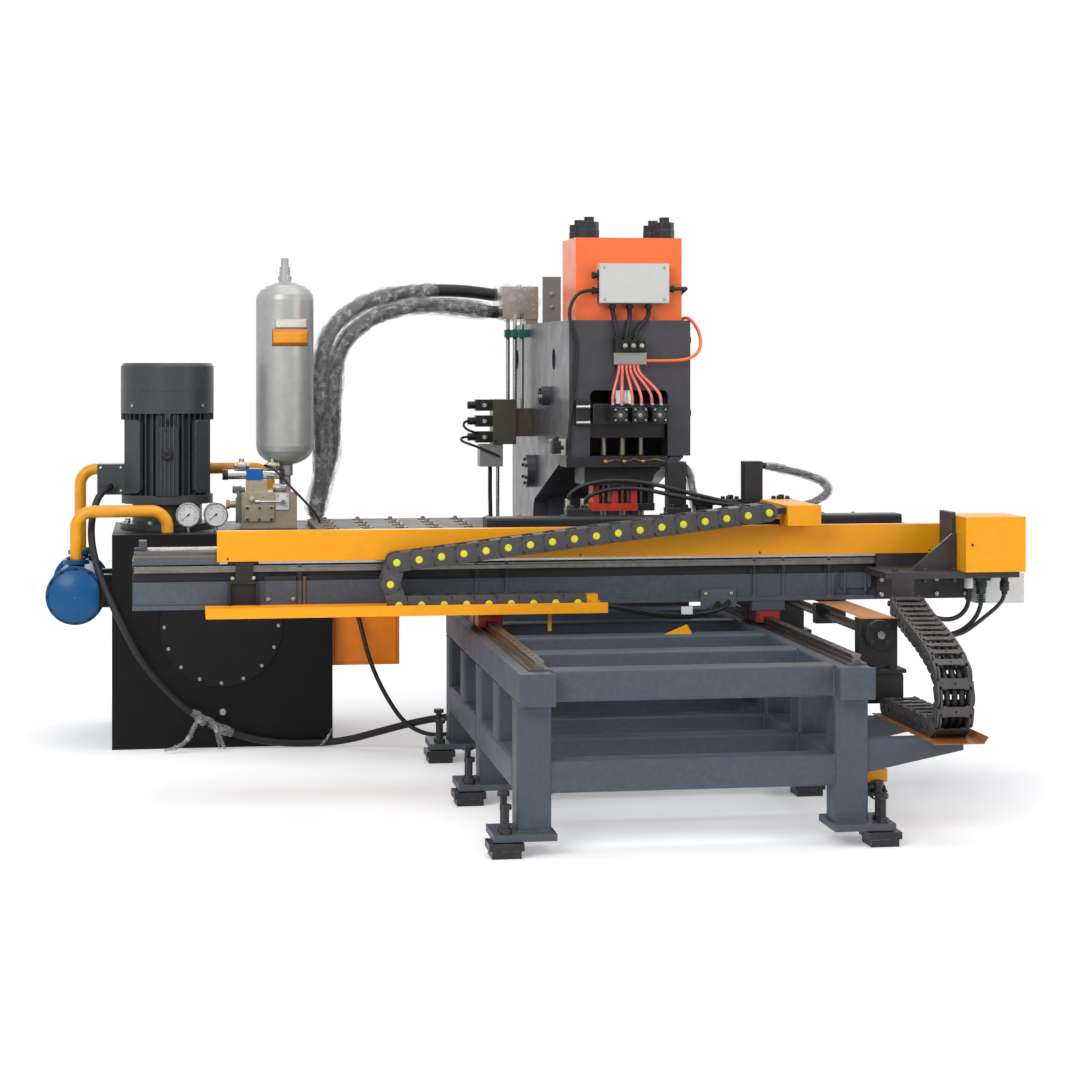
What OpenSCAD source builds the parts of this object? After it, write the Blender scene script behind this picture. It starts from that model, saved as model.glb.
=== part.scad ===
// Plate punching machine: X/Y clamp table, hydraulic C-frame press and power unit.
// Frame: +X to the operator's right, +Y away from the operator, +Z up.
// Origin: on the floor, straight under the middle punch.

/* [Table frame] */
// Width of the table frame over its side rails
frame_w = 1027; // [900:1:1150]
// Left edge of the table frame
frame_left = -657; // [-700:1:-600]
// Length of the table frame from its front posts to the press
frame_l = 1720; // [1500:1:1900]
// Height of the guide rail seats above the floor
frame_h = 518; // [480:1:560]
// Side of the square frame tubes
tube = 100; // [80:1:110]
// Height of the frame rails
rail_h = 90; // [70:1:100]
// Corner radius of the frame tubes
tube_r = 10; // [6:0.5:14]
// Bottom of the lower rails above the floor
lower_rail_z = 170; // [150:1:200]

/* [Feet] */
// Thickness of the foot plates
foot_t = 20; // [15:1:25]
// Height of the levelling pads under the foot plates
pad_h = 45; // [35:1:60]
// Width and depth of the foot plates
foot_side = 180; // [160:1:200]
// Diameter of the free anchor holes
anchor_d = 22; // [18:1:26]
// Diameter of the jack bolts
jack_d = 20; // [16:1:24]

/* [Cross beam] */
// Left end of the cross beam
beam_left = -1740; // [-1800:1:-1700]
// Right end of the cross beam
beam_right = 1025; // [1000:1:1080]
// Front face of the cross beam
beam_front = -830; // [-850:1:-810]
// Depth of the cross beam
beam_d = 230; // [200:1:250]
// Underside of the cross beam
beam_z = 602; // [601:1:610]
// Height of the cross beam
beam_h = 158; // [140:1:170]
// Sheet thickness of covers, gutter and trays
sheet = 3; // [2:0.5:4]

/* [Drives] */
// Diameter of the lengthwise drive screw
y_screw_d = 32; // [25:1:36]
// Diameter of the crosswise drive screw
x_screw_d = 24; // [20:1:24]
// Radial clearance of running fits
fit = 0.05; // [0.02:0.01:0.08]
// Gap between parts that slide past each other
gap = 1; // [0.5:0.1:2]

/* [Cable chains] */
// Distance between the pins of the crosswise chain
x_pitch = 72; // [66:1:76]
// Height of the crosswise chain
x_chain_h = 60; // [54:1:62]
// Width of the crosswise chain
x_chain_w = 95; // [80:1:100]
// Distance between the pins of the lengthwise chain
y_pitch = 66; // [60:1:70]
// Height of the lengthwise chain
y_chain_h = 54; // [48:1:56]
// Width of the lengthwise chain
y_chain_w = 108; // [90:1:112]
// Thickness of a chain side plate
link_t = 6; // [4:0.5:7]

/* [Press] */
// Overall width of the press frame
press_w = 440; // [420:1:450]
// Thickness of the two side plates
side_t = 50; // [40:1:50]
// Rear edge of the press frame
press_back = 1250; // [1150:1:1300]
// Top of the press frame
press_top = 1540; // [1530:1:1600]
// Height of the plate support level
table_z = 800; // [790:1:810]
// Distance between punches
punch_step = 70; // [66:1:72]
// Diameter of the punch rods
rod_d = 28; // [24:1:30]
// Diameter of the main ram piston
piston_d = 140; // [120:1:150]

/* [Power unit] */
// Width of the oil tank
tank_w = 790; // [700:1:800]
// Depth of the oil tank
tank_d = 700; // [600:1:750]
// Height of the oil tank
tank_h = 770; // [700:1:770]
// Diameter of the motor body over its fins
motor_d = 318; // [290:1:330]
// Diameter of the pressure vessel
vessel_d = 216; // [200:1:219]
// Diameter of the oil cooler shell
cooler_d = 176; // [150:1:180]

/* [Hidden] */
$fn = 48;

// colours
slate = [0.34, 0.37, 0.43];
dark = [0.18, 0.18, 0.19];
press_grey = [0.38, 0.38, 0.42];
amber = [0.97, 0.64, 0.14];
orange = [0.98, 0.45, 0.2];
red = [0.72, 0.2, 0.15];
steel = [0.7, 0.7, 0.72];
silver = [0.62, 0.62, 0.63];
beige = [0.76, 0.7, 0.62];
pale = [0.88, 0.88, 0.86];
blue = [0.04, 0.32, 0.6];
ochre = [0.88, 0.58, 0.12];
chain_grey = [0.24, 0.235, 0.25];

// table frame
frame_right = frame_left + frame_w;
frame_back = -130;
frame_front = frame_back - frame_l;
rail_overhang = 55;
foot_z = pad_h + foot_t;
link_play = 1.6;
top_rail_z = frame_h - rail_h;
lower_rail_top = lower_rail_z + rail_h;
rows = [for (i = [0:4]) frame_front + tube/2 + i*(frame_l - tube)/4];
foot_rows = [rows[0], rows[2], rows[4]];
post_x = [frame_left + tube/2, frame_right - tube/2];
foot_out = 70;
anchor_dy = 72;
jack_dy = [-72, -28];
jack_h = [70, 100];
tray_top = 300;
outrigger_x = frame_right + 290;

// guide rails of the table frame
rail_x = [frame_left + 64, frame_right - 36];
strip_h = 6;
rail_top = 24;
rail_half = 14;
rail_neck = 10;
block_l = 90;
block_half = 40;
block_z = frame_h + strip_h + 6;

// lengthwise drive
y_axis_x = 555;
y_axis_z = 545;
bed_x0 = 495;
bed_x1 = 635;
bed_z0 = 330;
bed_z1 = 425;
bed_front = -1340;
housing_top = beam_z - 8;
housing_y = [-1335, -230];
housing_l = 60;
strip_half = 48;
nut_y = [-735, -695];

// lengthwise chain
y_chain_x = 612;
y_run_links = 7;
y_chain_start = -1368;
y_lean = 7.8;
y_low_z = tray_top + y_chain_h/2;
y_ear = y_chain_w/2 - 2*link_t - link_play;

// cross beam
beam_back = beam_front + beam_d;
beam_top = beam_z + beam_h;
flange_t = 14;
web_t = 10;
web_set = 24;
x_rail_y = [beam_front + 18, beam_back - 40];
x_rail_h = 28;
x_axis_y = -720;
x_axis_z = beam_top + 23;
screw_seats = [beam_left + 20, beam_right - 35];
cover_front = beam_front - 15;
cover_x = [-1474, 950];
cover_z = [beam_top - 5, beam_top + 92];
gutter_x = [-1511, -232];
gutter_front = -972;
gutter_z = 586;
x_low_z = gutter_z + sheet + x_chain_h/2;
x_chain_y = gutter_front + sheet + 2 + x_chain_w/2 + 8;
x_chain_start = -328;
x_low_links = 8;
x_high_links = 17;
x_rise = 6.85;
x_ear = x_chain_w/2 - 2*link_t - link_play;

// clamp carriage
car_x = [-580, 850];
car_plate_z = beam_top + 40;
car_plate_t = 15;
car_beam_y = [-640, -540];
car_beam_top = 872;
clamp_x = [-255, 90, 358];
clamp_half = 45;
jaw_half = 28;
clamp_back = -360;
jaw_pivot_y = -455;
jaw_pivot_z = 845;

// press
px0 = -press_w/2;
px1 = press_w/2;
in0 = px0 + side_t;
in1 = px1 - side_t;
press_front = frame_back;
jaw_front = -30;
housing_front = -150;
arm_top = 740;
throat_y = 690;
throat_z = 850;
jaw_z = 1056;
window_x = [-145, 138];
window_top = 1290;
guide_h = 38;
guide_z = jaw_z - guide_h;
holder_z = 950;
stripper_z = 855;
ram_z = 1120;
ram_t = 52;
gag_top = 1242;
gag_front = -190;
block_x = [-187, 199];
block_y = [-100, 190];
block_top = 1836;
rod_cx = (block_x[0] + block_x[1])/2;
rod_x = [rod_cx - 138, rod_cx + 138];
rod_y = [-58, 148];
tie_d = 36;
tie_hole = 37;
crown_z = press_top - 100;
bore_top = 1762;
selector_z = 1207;
selector_side = 52;
selector_front = -342;
selector_rod_d = 16;
selector_travel = 30;
punch_x = [for (i = [-1:1]) i*punch_step];

// power unit
tank_x0 = -1825;
tank_x1 = tank_x0 + tank_w;
tank_y0 = 185;
tank_y1 = tank_y0 + tank_d;
motor_x = -1628;
motor_y = 550;
motor_z = tank_h + 115;
cowl_z = 1200;
cowl_top = 1387;
cowl_d = 344;
vessel_x = -1190;
vessel_y = 550;
hatch_x = -1436;
hatch_z = 438;
hatch_d = 440;
cooler_x = -1955;
cooler_z = 552;
pipe_d = 44;
pipe_y = [300, 746];
cooler_back = 800;
bend_r = 60;

// ---- shared shapes ----
module bx(x, y, z)
    translate([x[0], y[0], z[0]]) cube([x[1] - x[0], y[1] - y[0], z[1] - z[0]]);

module round_rect(w, h, r) {
    square([w - 2*r, h], center = true);
    square([w, h - 2*r], center = true);
    for (sx = [-1, 1], sy = [-1, 1])
        translate([sx*(w/2 - r), sy*(h/2 - r)]) circle(r);
}

module tube_y(x, z, y0, y1, w, h)
    translate([x, y1, z]) rotate([90, 0, 0]) linear_extrude(y1 - y0) round_rect(w, h, tube_r);

module tube_x(y, z, x0, x1, w, h)
    translate([x0, y, z]) rotate([90, 0, 90]) linear_extrude(x1 - x0) round_rect(w, h, tube_r);

module tube_z(x, y, z0, z1, w, h)
    translate([x, y, z0]) linear_extrude(z1 - z0) round_rect(w, h, tube_r);

module rod_x(x0, x1, y, z, d)
    translate([x0, y, z]) rotate([0, 90, 0]) cylinder(h = x1 - x0, d = d);

module rod_y(y0, y1, x, z, d)
    translate([x, y1, z]) rotate([90, 0, 0]) cylinder(h = y1 - y0, d = d);

module rod_z(z0, z1, x, y, d)
    translate([x, y, z0]) cylinder(h = z1 - z0, d = d);

module hex_z(z0, z1, x, y, flats)
    translate([x, y, z0]) cylinder(h = z1 - z0, d = flats/cos(30), $fn = 6);

module hex_y(y0, y1, x, z, flats)
    translate([x, y1, z]) rotate([90, 0, 0]) cylinder(h = y1 - y0, d = flats/cos(30), $fn = 6);

module hex_x(x0, x1, y, z, flats)
    translate([x0, y, z]) rotate([0, 90, 0]) cylinder(h = x1 - x0, d = flats/cos(30), $fn = 6);

// Profile points [across, height] drawn in the XZ plane and extruded along Y from y0 to y1.
module plate_xz(points, y0, y1)
    translate([0, y1, 0]) rotate([90, 0, 0]) linear_extrude(y1 - y0) polygon(points);

// Profile points [depth, height] drawn in the YZ plane and extruded along X from x0 to x1.
module plate_yz(points, x0, x1)
    translate([x0, 0, 0]) rotate([90, 0, 90]) linear_extrude(x1 - x0) polygon(points);

// ---- cords: a tube swept along points ----
function unit(v) = v/norm(v);
function tangent(p, i) = unit(p[min(i + 1, len(p) - 1)] - p[max(i - 1, 0)]);
function ring(p, i, r, n, ref) =
    let (t = tangent(p, i), a = unit(cross(t, ref)), b = cross(a, t))
    [for (k = [0:n - 1]) p[i] + r*(cos(360*k/n)*a + sin(360*k/n)*b)];
module cord(p, d, ref, n = 8) {
    m = len(p);
    verts = [for (i = [0:m - 1]) each ring(p, i, d/2, n, ref)];
    sides = [for (i = [0:m - 2], k = [0:n - 1])
        [i*n + k, i*n + (k + 1)%n, (i + 1)*n + (k + 1)%n, (i + 1)*n + k]];
    polyhedron(verts, concat([[for (k = [n - 1:-1:0]) k]], sides,
        [[for (k = [0:n - 1]) (m - 1)*n + k]]), convexity = 8);
}

// Routes, chosen by hand
hose_a = [[-1062, 662, 800], [-1062, 662, 820], [-1058, 662, 855], [-1050, 662, 905],
    [-1045, 662, 970], [-1044, 662, 1056],
    [-1048, 661, 1162], [-1051, 660, 1265], [-1047, 662, 1360], [-1035, 666, 1440],
    [-1009, 672, 1505],
    [-958, 686, 1565], [-884, 712, 1614], [-776, 752, 1649], [-640, 800, 1668], [-500, 858, 1671],
    [-400, 902, 1664], [-350, 925, 1658], [-330, 925, 1658]];
hose_b = [[-1062, 738, 800], [-1062, 738, 820], [-1056, 737, 855], [-1042, 735, 905],
    [-1022, 728, 970], [-1003, 718, 1056],
    [-998, 708, 1162], [-997, 700, 1265], [-990, 698, 1360], [-970, 698, 1436], [-930, 702, 1496],
    [-865, 714, 1547], [-776, 734, 1587], [-645, 772, 1610], [-507, 820, 1608], [-400, 868, 1594],
    [-350, 890, 1588], [-330, 890, 1588]];
hose_d = 50;
motor_lead = [[-1835, 464, 930], [-1835, 452, 930], [-1848, 436, 926], [-1872, 416, 908],
    [-1888, 395, 874],
    [-1897, 362, 832], [-1902, 326, 796], [-1898, 268, 735], [-1876, 205, 650], [-1836, 158, 552],
    [-1788, 128, 453], [-1742, 118, 362], [-1690, 118, 284], [-1624, 124, 209], [-1553, 132, 141],
    [-1457, 140, 84], [-1352, 148, 42], [-1229, 152, 18], [-1105, 150, 14], [-998, 140, 22],
    [-873, 110, 55],
    [-778, 74, 84], [-690, 44, 106], [-600, 20, 118], [-500, 8, 123], [-400, 0, 125],
    [-260, 0, 125],
    [px0, 0, 125]];
motor_lead_d = 26;
box_lead = [[-945, 242, 480], [-945, 232, 480], [-942, 216, 472], [-934, 196, 436],
    [-922, 178, 385],
    [-907, 160, 324], [-874, 130, 237], [-834, 96, 162], [-787, 66, 96], [-733, 40, 62],
    [-671, 22, 50],
    [-600, 20, 62], [-500, 40, 84], [-400, 50, 95], [-260, 50, 96], [px0, 50, 96]];
box_lead_d = 16;
lead_left = [[-134, -130, 1645], [-150, -130, 1645], [-180, -133, 1636], [-204, -142, 1611],
    [-218, -154, 1576],
    [-218, -163, 1538], [-204, -166, 1494], [-196, -166, 1451], [-196, -166, 1398],
    [-200, -166, 1340],
    [-207, -166, 1275], [-214, -166, 1214], [-220, -166, 1160], [-224, -166, 1110],
    [-225, -165, 1076],
    [-225, -165, jaw_z]];
lead_left_d = 14;
lead_right = [[164, -130, 1652], [178, -130, 1652], [200, -122, 1655], [215, -104, 1656],
    [221, -75, 1655],
    [223, -30, 1650], [223, 30, 1640], [223, 90, 1622], [223, 150, 1600], [220, 200, 1582],
    [210, 238, 1570],
    [194, 262, 1562], [182, 275, 1552], [182, 275, press_top]];
lead_right_d = 14;
drop_leads = [
    [[-60, -130, 1582], [-60, -130, 1575], [-60, -141, 1563], [-60, -158, 1549], [-60, -169, 1534],
        [-58, -177, 1512], [-52, -180, 1490], [-52, -180, 1478]],
    [[2, -130, 1582], [2, -130, 1575], [1, -141, 1563], [-3, -158, 1549], [-8, -169, 1534],
        [-14, -177, 1512], [-18, -180, 1490], [-18, -180, 1478]],
    [[71, -130, 1582], [71, -130, 1575], [69, -141, 1563], [61, -158, 1549], [49, -169, 1534],
        [28, -177, 1512], [16, -180, 1490], [16, -180, 1478]]];
drop_lead_d = 18;
orange_line = [[210, -20, press_top], [210, -20, 1552], [216, -28, 1562], [232, -45, 1558],
    [250, -68, 1538],
    [264, -95, 1502], [268, -122, 1462], [256, -148, 1430], [228, -168, 1407], [188, -180, 1397],
    [140, -186, 1395], [80, -187, 1395], [52, -187, 1395]];
orange_line_d = 12;
air_z = selector_z + selector_side/2 + 8;
air_lines = [
    [[-46, -184, 1382], [-46, -184, 1372], [-50, -192, 1352], [-60, -214, 1328],
        [-72, -239, 1302], [-80, -255, 1280], [-83, -261, 1264], [-83, -262, air_z + 10],
        [-83, -262, air_z]],
    [[-34, -184, 1382], [-34, -184, 1372], [-36, -195, 1352], [-43, -225, 1328],
        [-50, -260, 1302], [-55, -283, 1280], [-57, -291, 1264], [-57, -292, air_z + 10],
        [-57, -292, air_z]],
    [[-20, -184, 1382], [-20, -184, 1372], [-19, -192, 1352], [-17, -214, 1328],
        [-15, -239, 1302], [-14, -255, 1280], [-13, -261, 1264], [-13, -262, air_z + 10],
        [-13, -262, air_z]],
    [[-6, -184, 1382], [-6, -184, 1372], [-4, -195, 1352], [1, -225, 1328], [7, -260, 1302],
        [11, -283, 1280], [13, -291, 1264], [13, -292, air_z + 10], [13, -292, air_z]],
    [[8, -184, 1382], [8, -184, 1372], [13, -192, 1352], [27, -214, 1328], [43, -239, 1302],
        [53, -255, 1280], [56, -261, 1264], [57, -262, air_z + 10], [57, -262, air_z]],
    [[22, -184, 1382], [22, -184, 1372], [28, -195, 1352], [45, -225, 1328], [65, -260, 1302],
        [78, -283, 1280], [82, -291, 1264], [83, -292, air_z + 10], [83, -292, air_z]]];
air_d = 9;
clamp_line_a = [[-283, -490, 894], [-283, -490, 908], [-280, -493, 930], [-262, -498, 952],
    [-225, -506, 972],
    [-150, -516, 986], [-54, -530, 984], [20, -556, 972], [100, -582, 952], [180, -600, 932],
    [260, -612, 914],
    [316, -620, 903], [345, -622, 899], [364, -622, 899]];
clamp_line_b = [[-230, -490, 894], [-230, -490, 904], [-224, -494, 922], [-206, -502, 938],
    [-165, -512, 952],
    [-101, -528, 962], [-30, -552, 958], [54, -590, 942], [140, -618, 926], [220, -634, 912],
    [300, -643, 902],
    [345, -645, 897], [364, -645, 897]];
clamp_line_d = 14;
wrap_line = [[389, -500, 1036], [412, -500, 1036], [440, -503, 1028], [480, -506, 1019],
    [530, -510, 1009],
    [575, -516, 998], [606, -526, 986], [622, -545, 972], [622, -575, 956], [604, -605, 940],
    [570, -630, 925],
    [530, -645, 912], [496, -652, 898], [476, -652, 898]];
wrap_line_d = 22;
post_line = [[121, -500, 1036], [128, -500, 1036], [139, -502, 1024], [143, -506, 1000],
    [144, -514, 965],
    [147, -526, 932], [150, -540, 904], [152, -552, 884], [152, -552, car_beam_top]];
loop_lines = [
    [[-258, -904, 603], [-250, -904, 603], [-225, -904, 602], [-190, -903, 595], [-127, -900, 580],
        [-51, -896, 567], [26, -892, 560], [90, -886, 563], [138, -876, 577], [157, -862, 591],
        [160, -850, 598], [160, -841, 598]],
    [[-258, -921, 606], [-250, -921, 606], [-225, -921, 605], [-190, -920, 599], [-127, -917, 588],
        [-51, -913, 576], [26, -908, 569], [100, -900, 572], [160, -888, 584], [188, -868, 597],
        [196, -850, 602], [196, -841, 602]]];
servo_line_a = [[1006, -1000, 632], [1006, -1000, 612], [1002, -1002, 590], [990, -1006, 564],
    [968, -1014, 540],
    [936, -1026, 520], [898, -1040, 508], [860, -1054, 508], [822, -1068, 520], [790, -1078, 540],
    [766, -1082, 565]];
servo_line_b = [[960, -1010, 640], [960, -1010, 622], [956, -1013, 600], [944, -1018, 580],
    [922, -1028, 564],
    [894, -1040, 556], [862, -1052, 556], [828, -1064, 564], [796, -1072, 578], [768, -1076, 592]];
servo_line_d = 16;

// ---- one link of a cable chain ----
// Pin A at the origin and pin B at [pitch, 0]; the chain runs in its own XZ plane and is wide along Y.
// The ears at pin A lie outside the ears at pin B, so that the next link folds round the pin.
module link_side(pitch, height, t) {
    r = height/2;
    web0 = r + gap;
    web1 = pitch - r - gap;
    low = -t - link_play;
    difference() {
        union() {
            linear_extrude(t) {
                circle(r);
                translate([0, -r]) square([web1, height]);
            }
            translate([0, 0, low]) linear_extrude(t - low)
                translate([web0, -r]) square([web1 - web0, height]);
            translate([0, 0, low]) linear_extrude(t) {
                translate([pitch, 0]) circle(r);
                translate([web0, -r]) square([pitch - web0, height]);
            }
        }
        translate([pitch, 0, low - 1]) cylinder(h = t + 2, d = pin_d);
    }
    translate([0, 0, low]) cylinder(h = t - low, d = pin_d - 1.2);
    translate([0, 0, t]) cylinder(h = 2, d = pin_d);
}

module chain_link(pitch, height, width, t) {
    inner = width/2 - 2*t - link_play;
    bar = pitch*0.36;
    mid = pitch/2;
    rotate([90, 0, 0]) {
        translate([0, 0, width/2 - t]) link_side(pitch, height, t);
        translate([0, 0, t - width/2]) mirror([0, 0, 1]) link_side(pitch, height, t);
    }
    for (s = [-1, 1])
        translate([mid - bar/2, -inner - 0.1, s*(height/2 - 2.5) - 2.5])
            cube([bar, 2*inner + 0.2, 5]);
}

// Pins of both chains
pin_d = 18;

// Pin places of a chain: each link turns to its own heading, measured in the chain's plane.
function add_up(steps, i) = i == 0 ? 0*steps[0] : add_up(steps, i - 1) + steps[i - 1];

x_headings = concat([for (i = [1:x_low_links]) 180], [112, 74],
    [for (i = [1:x_high_links]) x_rise]);
x_steps = [for (h = x_headings) x_pitch*[cos(h), sin(h)]];
x_end = [x_chain_start, x_low_z] + add_up(x_steps, len(x_steps));
// The upper run of the lengthwise chain also leans aside, by the second angle of each pair.
y_headings = concat([for (i = [1:y_run_links]) [180, 0]],
    [[148, 1.5], [106, 3.1], [64, 4.7], [24, 6.3]],
    [for (h = [12, 10, 9, 7, 6, 6, 6, 7, 8, 9, 10]) [h, y_lean]]);
y_steps = [for (h = y_headings) y_pitch*[cos(h[0])*sin(h[1]), cos(h[0])*cos(h[1]), sin(h[0])]];
y_end = [y_chain_x, y_chain_start, y_low_z] + add_up(y_steps, len(y_steps));

// ================= table frame =================
module frame_posts() color(slate) {
    for (x = post_x) {
        for (y = foot_rows) tube_z(x, y, foot_z, top_rail_z, tube, tube);
        for (y = [rows[1], rows[3]]) tube_z(x, y, lower_rail_top, top_rail_z, tube, tube);
    }
    for (side = [-1, 1], i = [0:2]) foot_plate(side, foot_rows[i], i != 1);
}

module frame_side_rails() color(slate) {
    front = frame_front - rail_overhang;
    for (x = post_x) {
        tube_y(x, frame_h - rail_h/2, front, frame_back, tube, rail_h);
        bx([x - tube/2 - 2, x + tube/2 + 2], [front - 8, front], [top_rail_z - 2, frame_h]);
        for (i = [0, 1])
            tube_y(x, lower_rail_z + rail_h/2, foot_rows[i] + tube/2, foot_rows[i + 1] - tube/2,
                tube, rail_h);
    }
}

module frame_cross_rails() color(slate) {
    for (y = rows, z = [frame_h - rail_h/2, lower_rail_z + rail_h/2])
        tube_x(y == rows[4] ? frame_back - rail_h/2 : y, z, post_x[0] + tube/2, post_x[1] - tube/2,
            rail_h, rail_h);
    for (y = [rows[0], rows[1]]) outrigger(y);
}

function foot_x(side) = side < 0 ? post_x[0] : post_x[1];

module foot_plate(side, y, anchored) {
    x = foot_x(side);
    inner = x - side*(foot_side - tube/2 - foot_out);
    outer = x + side*(tube/2 + foot_out);
    jack_x = x + side*(tube/2 + foot_out/2);
    difference() {
        bx([min(inner, outer), max(inner, outer)], [y - foot_side/2, y + foot_side/2],
            [pad_h, foot_z]);
        for (dy = jack_dy) rod_z(0, foot_z + 1, jack_x, y + dy, jack_d + 1);
        if (anchored) rod_z(0, foot_z + 1, x, y + anchor_dy, anchor_d);
    }
}

module outrigger(y)
    plate_xz([[frame_right, 205], [frame_right, tray_top - 3], [outrigger_x, tray_top - 3],
        [outrigger_x, 262]], y - 35, y + 35);

module leveling_feet() color(dark)
    for (side = [-1, 1], y = foot_rows) {
        x = foot_x(side) + side*(tube/2 + foot_out/2);
        step = pad_h/2 - 1.5;
        bx([x - 42, x + 42], [y - 98, y - 6], [0, step]);
        bx([x - 50, x + 50], [y - 100, y - 2], [step, 2*step]);
        for (i = [0, 1]) {
            rod_z(2*step, foot_z + jack_h[i], x, y + jack_dy[i], jack_d);
            difference() {
                hex_z(foot_z, foot_z + 16, x, y + jack_dy[i], 30);
                rod_z(0, foot_z + 20, x, y + jack_dy[i], jack_d + 2*fit);
            }
            hex_z(foot_z + jack_h[i], foot_z + jack_h[i] + 14, x, y + jack_dy[i], 30);
        }
    }

module guide_profile(half, height) {
    neck = rail_neck;
    polygon([[-half, 0], [half, 0], [half, height*0.36], [neck, height*0.5], [neck, height*0.62],
        [half, height*0.76], [half, height], [-half, height], [-half, height*0.76],
        [-neck, height*0.62], [-neck, height*0.5], [-half, height*0.36]]);
}

module y_guide_rails() color(steel)
    for (x = rail_x) {
        bx([x - 30, x + 30], [frame_front, frame_back - 5], [frame_h, frame_h + strip_h]);
        translate([x, frame_back - 5, frame_h + strip_h]) rotate([90, 0, 0])
            linear_extrude(frame_l - 5) guide_profile(rail_half, rail_top);
    }

module y_drive_bed() {
    color(dark) {
        tube_y((bed_x0 + bed_x1)/2, (bed_z0 + bed_z1)/2, bed_front, frame_back - 10,
            bed_x1 - bed_x0, bed_z1 - bed_z0);
        for (y = [rows[2], rows[3]])
            bx([frame_right, bed_x0], [y - 40, y + 40], [top_rail_z - 80, top_rail_z - 10]);
        for (y = housing_y) {
            bx([bed_x0 - 5, bed_x1 + 5], [y - 20, y + housing_l + 15], [bed_z1, bed_z1 + 12]);
            difference() {
                bx([y_axis_x - 58, y_axis_x + 62], [y, y + housing_l], [bed_z1 + 12, housing_top]);
                rod_y(y - 1, y + housing_l + 1, y_axis_x, y_axis_z, y_screw_d - 8 + 2*fit);
            }
        }
        difference() {
            union() {
                rod_y(housing_y[0] - 22, housing_y[0], y_axis_x, y_axis_z, 90);
                for (k = [0:3])
                    rotate_about_y(y_axis_x, y_axis_z, 45 + 90*k)
                        hex_y(housing_y[0] - 28, housing_y[0] - 21, y_axis_x + 34, y_axis_z, 12);
            }
            rod_y(housing_y[0] - 30, housing_y[0] + 1, y_axis_x, y_axis_z, y_screw_d - 8 + 2*fit);
        }
        bx([y_axis_x - 45, y_axis_x + 45],
            [housing_y[1] + housing_l, housing_y[1] + housing_l + 150],
            [y_axis_z - 45, y_axis_z + 45]);
    }
    color(amber)
        bx([y_axis_x - strip_half, y_axis_x + strip_half],
            [housing_y[0] + 5, housing_y[1] + housing_l],
            [housing_top, housing_top + sheet]);
}

module rotate_about_y(x, z, a)
    translate([x, 0, z]) rotate([0, a, 0]) translate([-x, 0, -z]) children();

module chain_tray() color(amber) {
    y0 = frame_front - 100;
    y1 = rows[1] + 60;
    x0 = y_chain_x - y_chain_w/2 - 22;
    x1 = y_chain_x + y_chain_w/2 + 16;
    plate_xz([[x0, tray_top - sheet], [x0, tray_top], [x1, tray_top], [x1 + 12, tray_top + 18],
        [x1 + 15, tray_top + 17], [x1 + 1, tray_top - sheet]], y0, y1);
}

module lubricator() {
    x0 = frame_right;
    y = [rows[0] + 60, rows[0] + 112];
    color([0.6, 0.6, 0.58]) bx([x0, x0 + 78], y, [118, 172]);
    color(amber) {
        bx([x0, x0 + 88], [y[0] - 6, y[1] + 4], [160, 196]);
        bx([x0 + 20, x0 + 70], [y[0], y[1]], [196, 203]);
    }
    color(dark) rod_y(y[0] - 12, y[0], x0 + 52, 138, 24);
}

module lubricator_wheel() color(dark) {
    y = rows[0] + 60 - 12 - 0.3;
    x = frame_right + 52;
    translate([x, y, 138]) rotate([90, 0, 0]) difference() {
        union() {
            cylinder(h = 8, d = 56);
            cylinder(h = 14, d = 20);
            translate([22, 0, 8]) cylinder(h = 20, d = 8);
        }
        for (k = [0:4]) rotate(36 + 72*k) translate([18, 0, -1]) cylinder(h = 10, d = 11);
    }
}

// ================= press =================
side_outline = [[press_front, 40], [press_back, 40], [press_back, press_top - 40],
    [press_back - 40, press_top], [jaw_front, press_top], [jaw_front, jaw_z - 10],
    [throat_y - 40, throat_z + 12], [throat_y - 8, throat_z - 12], [throat_y, throat_z - 50],
    [throat_y, arm_top + 30], [throat_y - 30, arm_top], [press_front, arm_top]];

module press_side_plates() color(press_grey) {
    for (x = [px0, in1])
        difference() {
            plate_yz(side_outline, x, x + side_t);
            for (h = [[190, 1400], [1120, 1400]])
                rod_x(x - 1, x + side_t + 1, h[0], h[1], 80);
        }
    rod_x(px0 - 32, px0, 300, 1264, 74);
    rod_x(px0 - 32, px0, throat_y, throat_z + 116, 128);
}

module press_inner_frame() color(press_grey) {
    bx([px0 - 30, px1 + 30], [press_front, press_back + 20], [0, 40]);
    bx([in0, in1], [press_back - 40, press_back], [40, press_top - 40]);
    bx([in0, in1], [press_front, press_front + 40], [40, arm_top - 40]);
    bx([in0, in1], [press_front, throat_y - 40], [arm_top - 40, arm_top]);
    bx([in0, in1], [throat_y + 10, throat_y + 50], [throat_z - 100, press_top - 40]);
    bx([in0, in1], [420, press_back - 40], [press_top - 40, press_top]);
    plate_yz([[160, 1012], [160, 1042], [throat_y - 30, 898], [throat_y - 30, 868]], in0, in1);
    difference() {
        bx([in0, in1], [jaw_front, 250], [crown_z, press_top]);
        rod_z(crown_z - 1, press_top + 1, 0, 0, piston_d + 10);
        for (x = rod_x) rod_z(crown_z - 1, press_top + 1, x, rod_y[1], tie_hole);
        bx([-piston_d/2 - 5, piston_d/2 + 5], [jaw_front - 1, 0], [crown_z - 1, press_top + 1]);
    }
    bx([-212, -142], [500, 510], [press_top, press_top + 176]);
}

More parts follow.
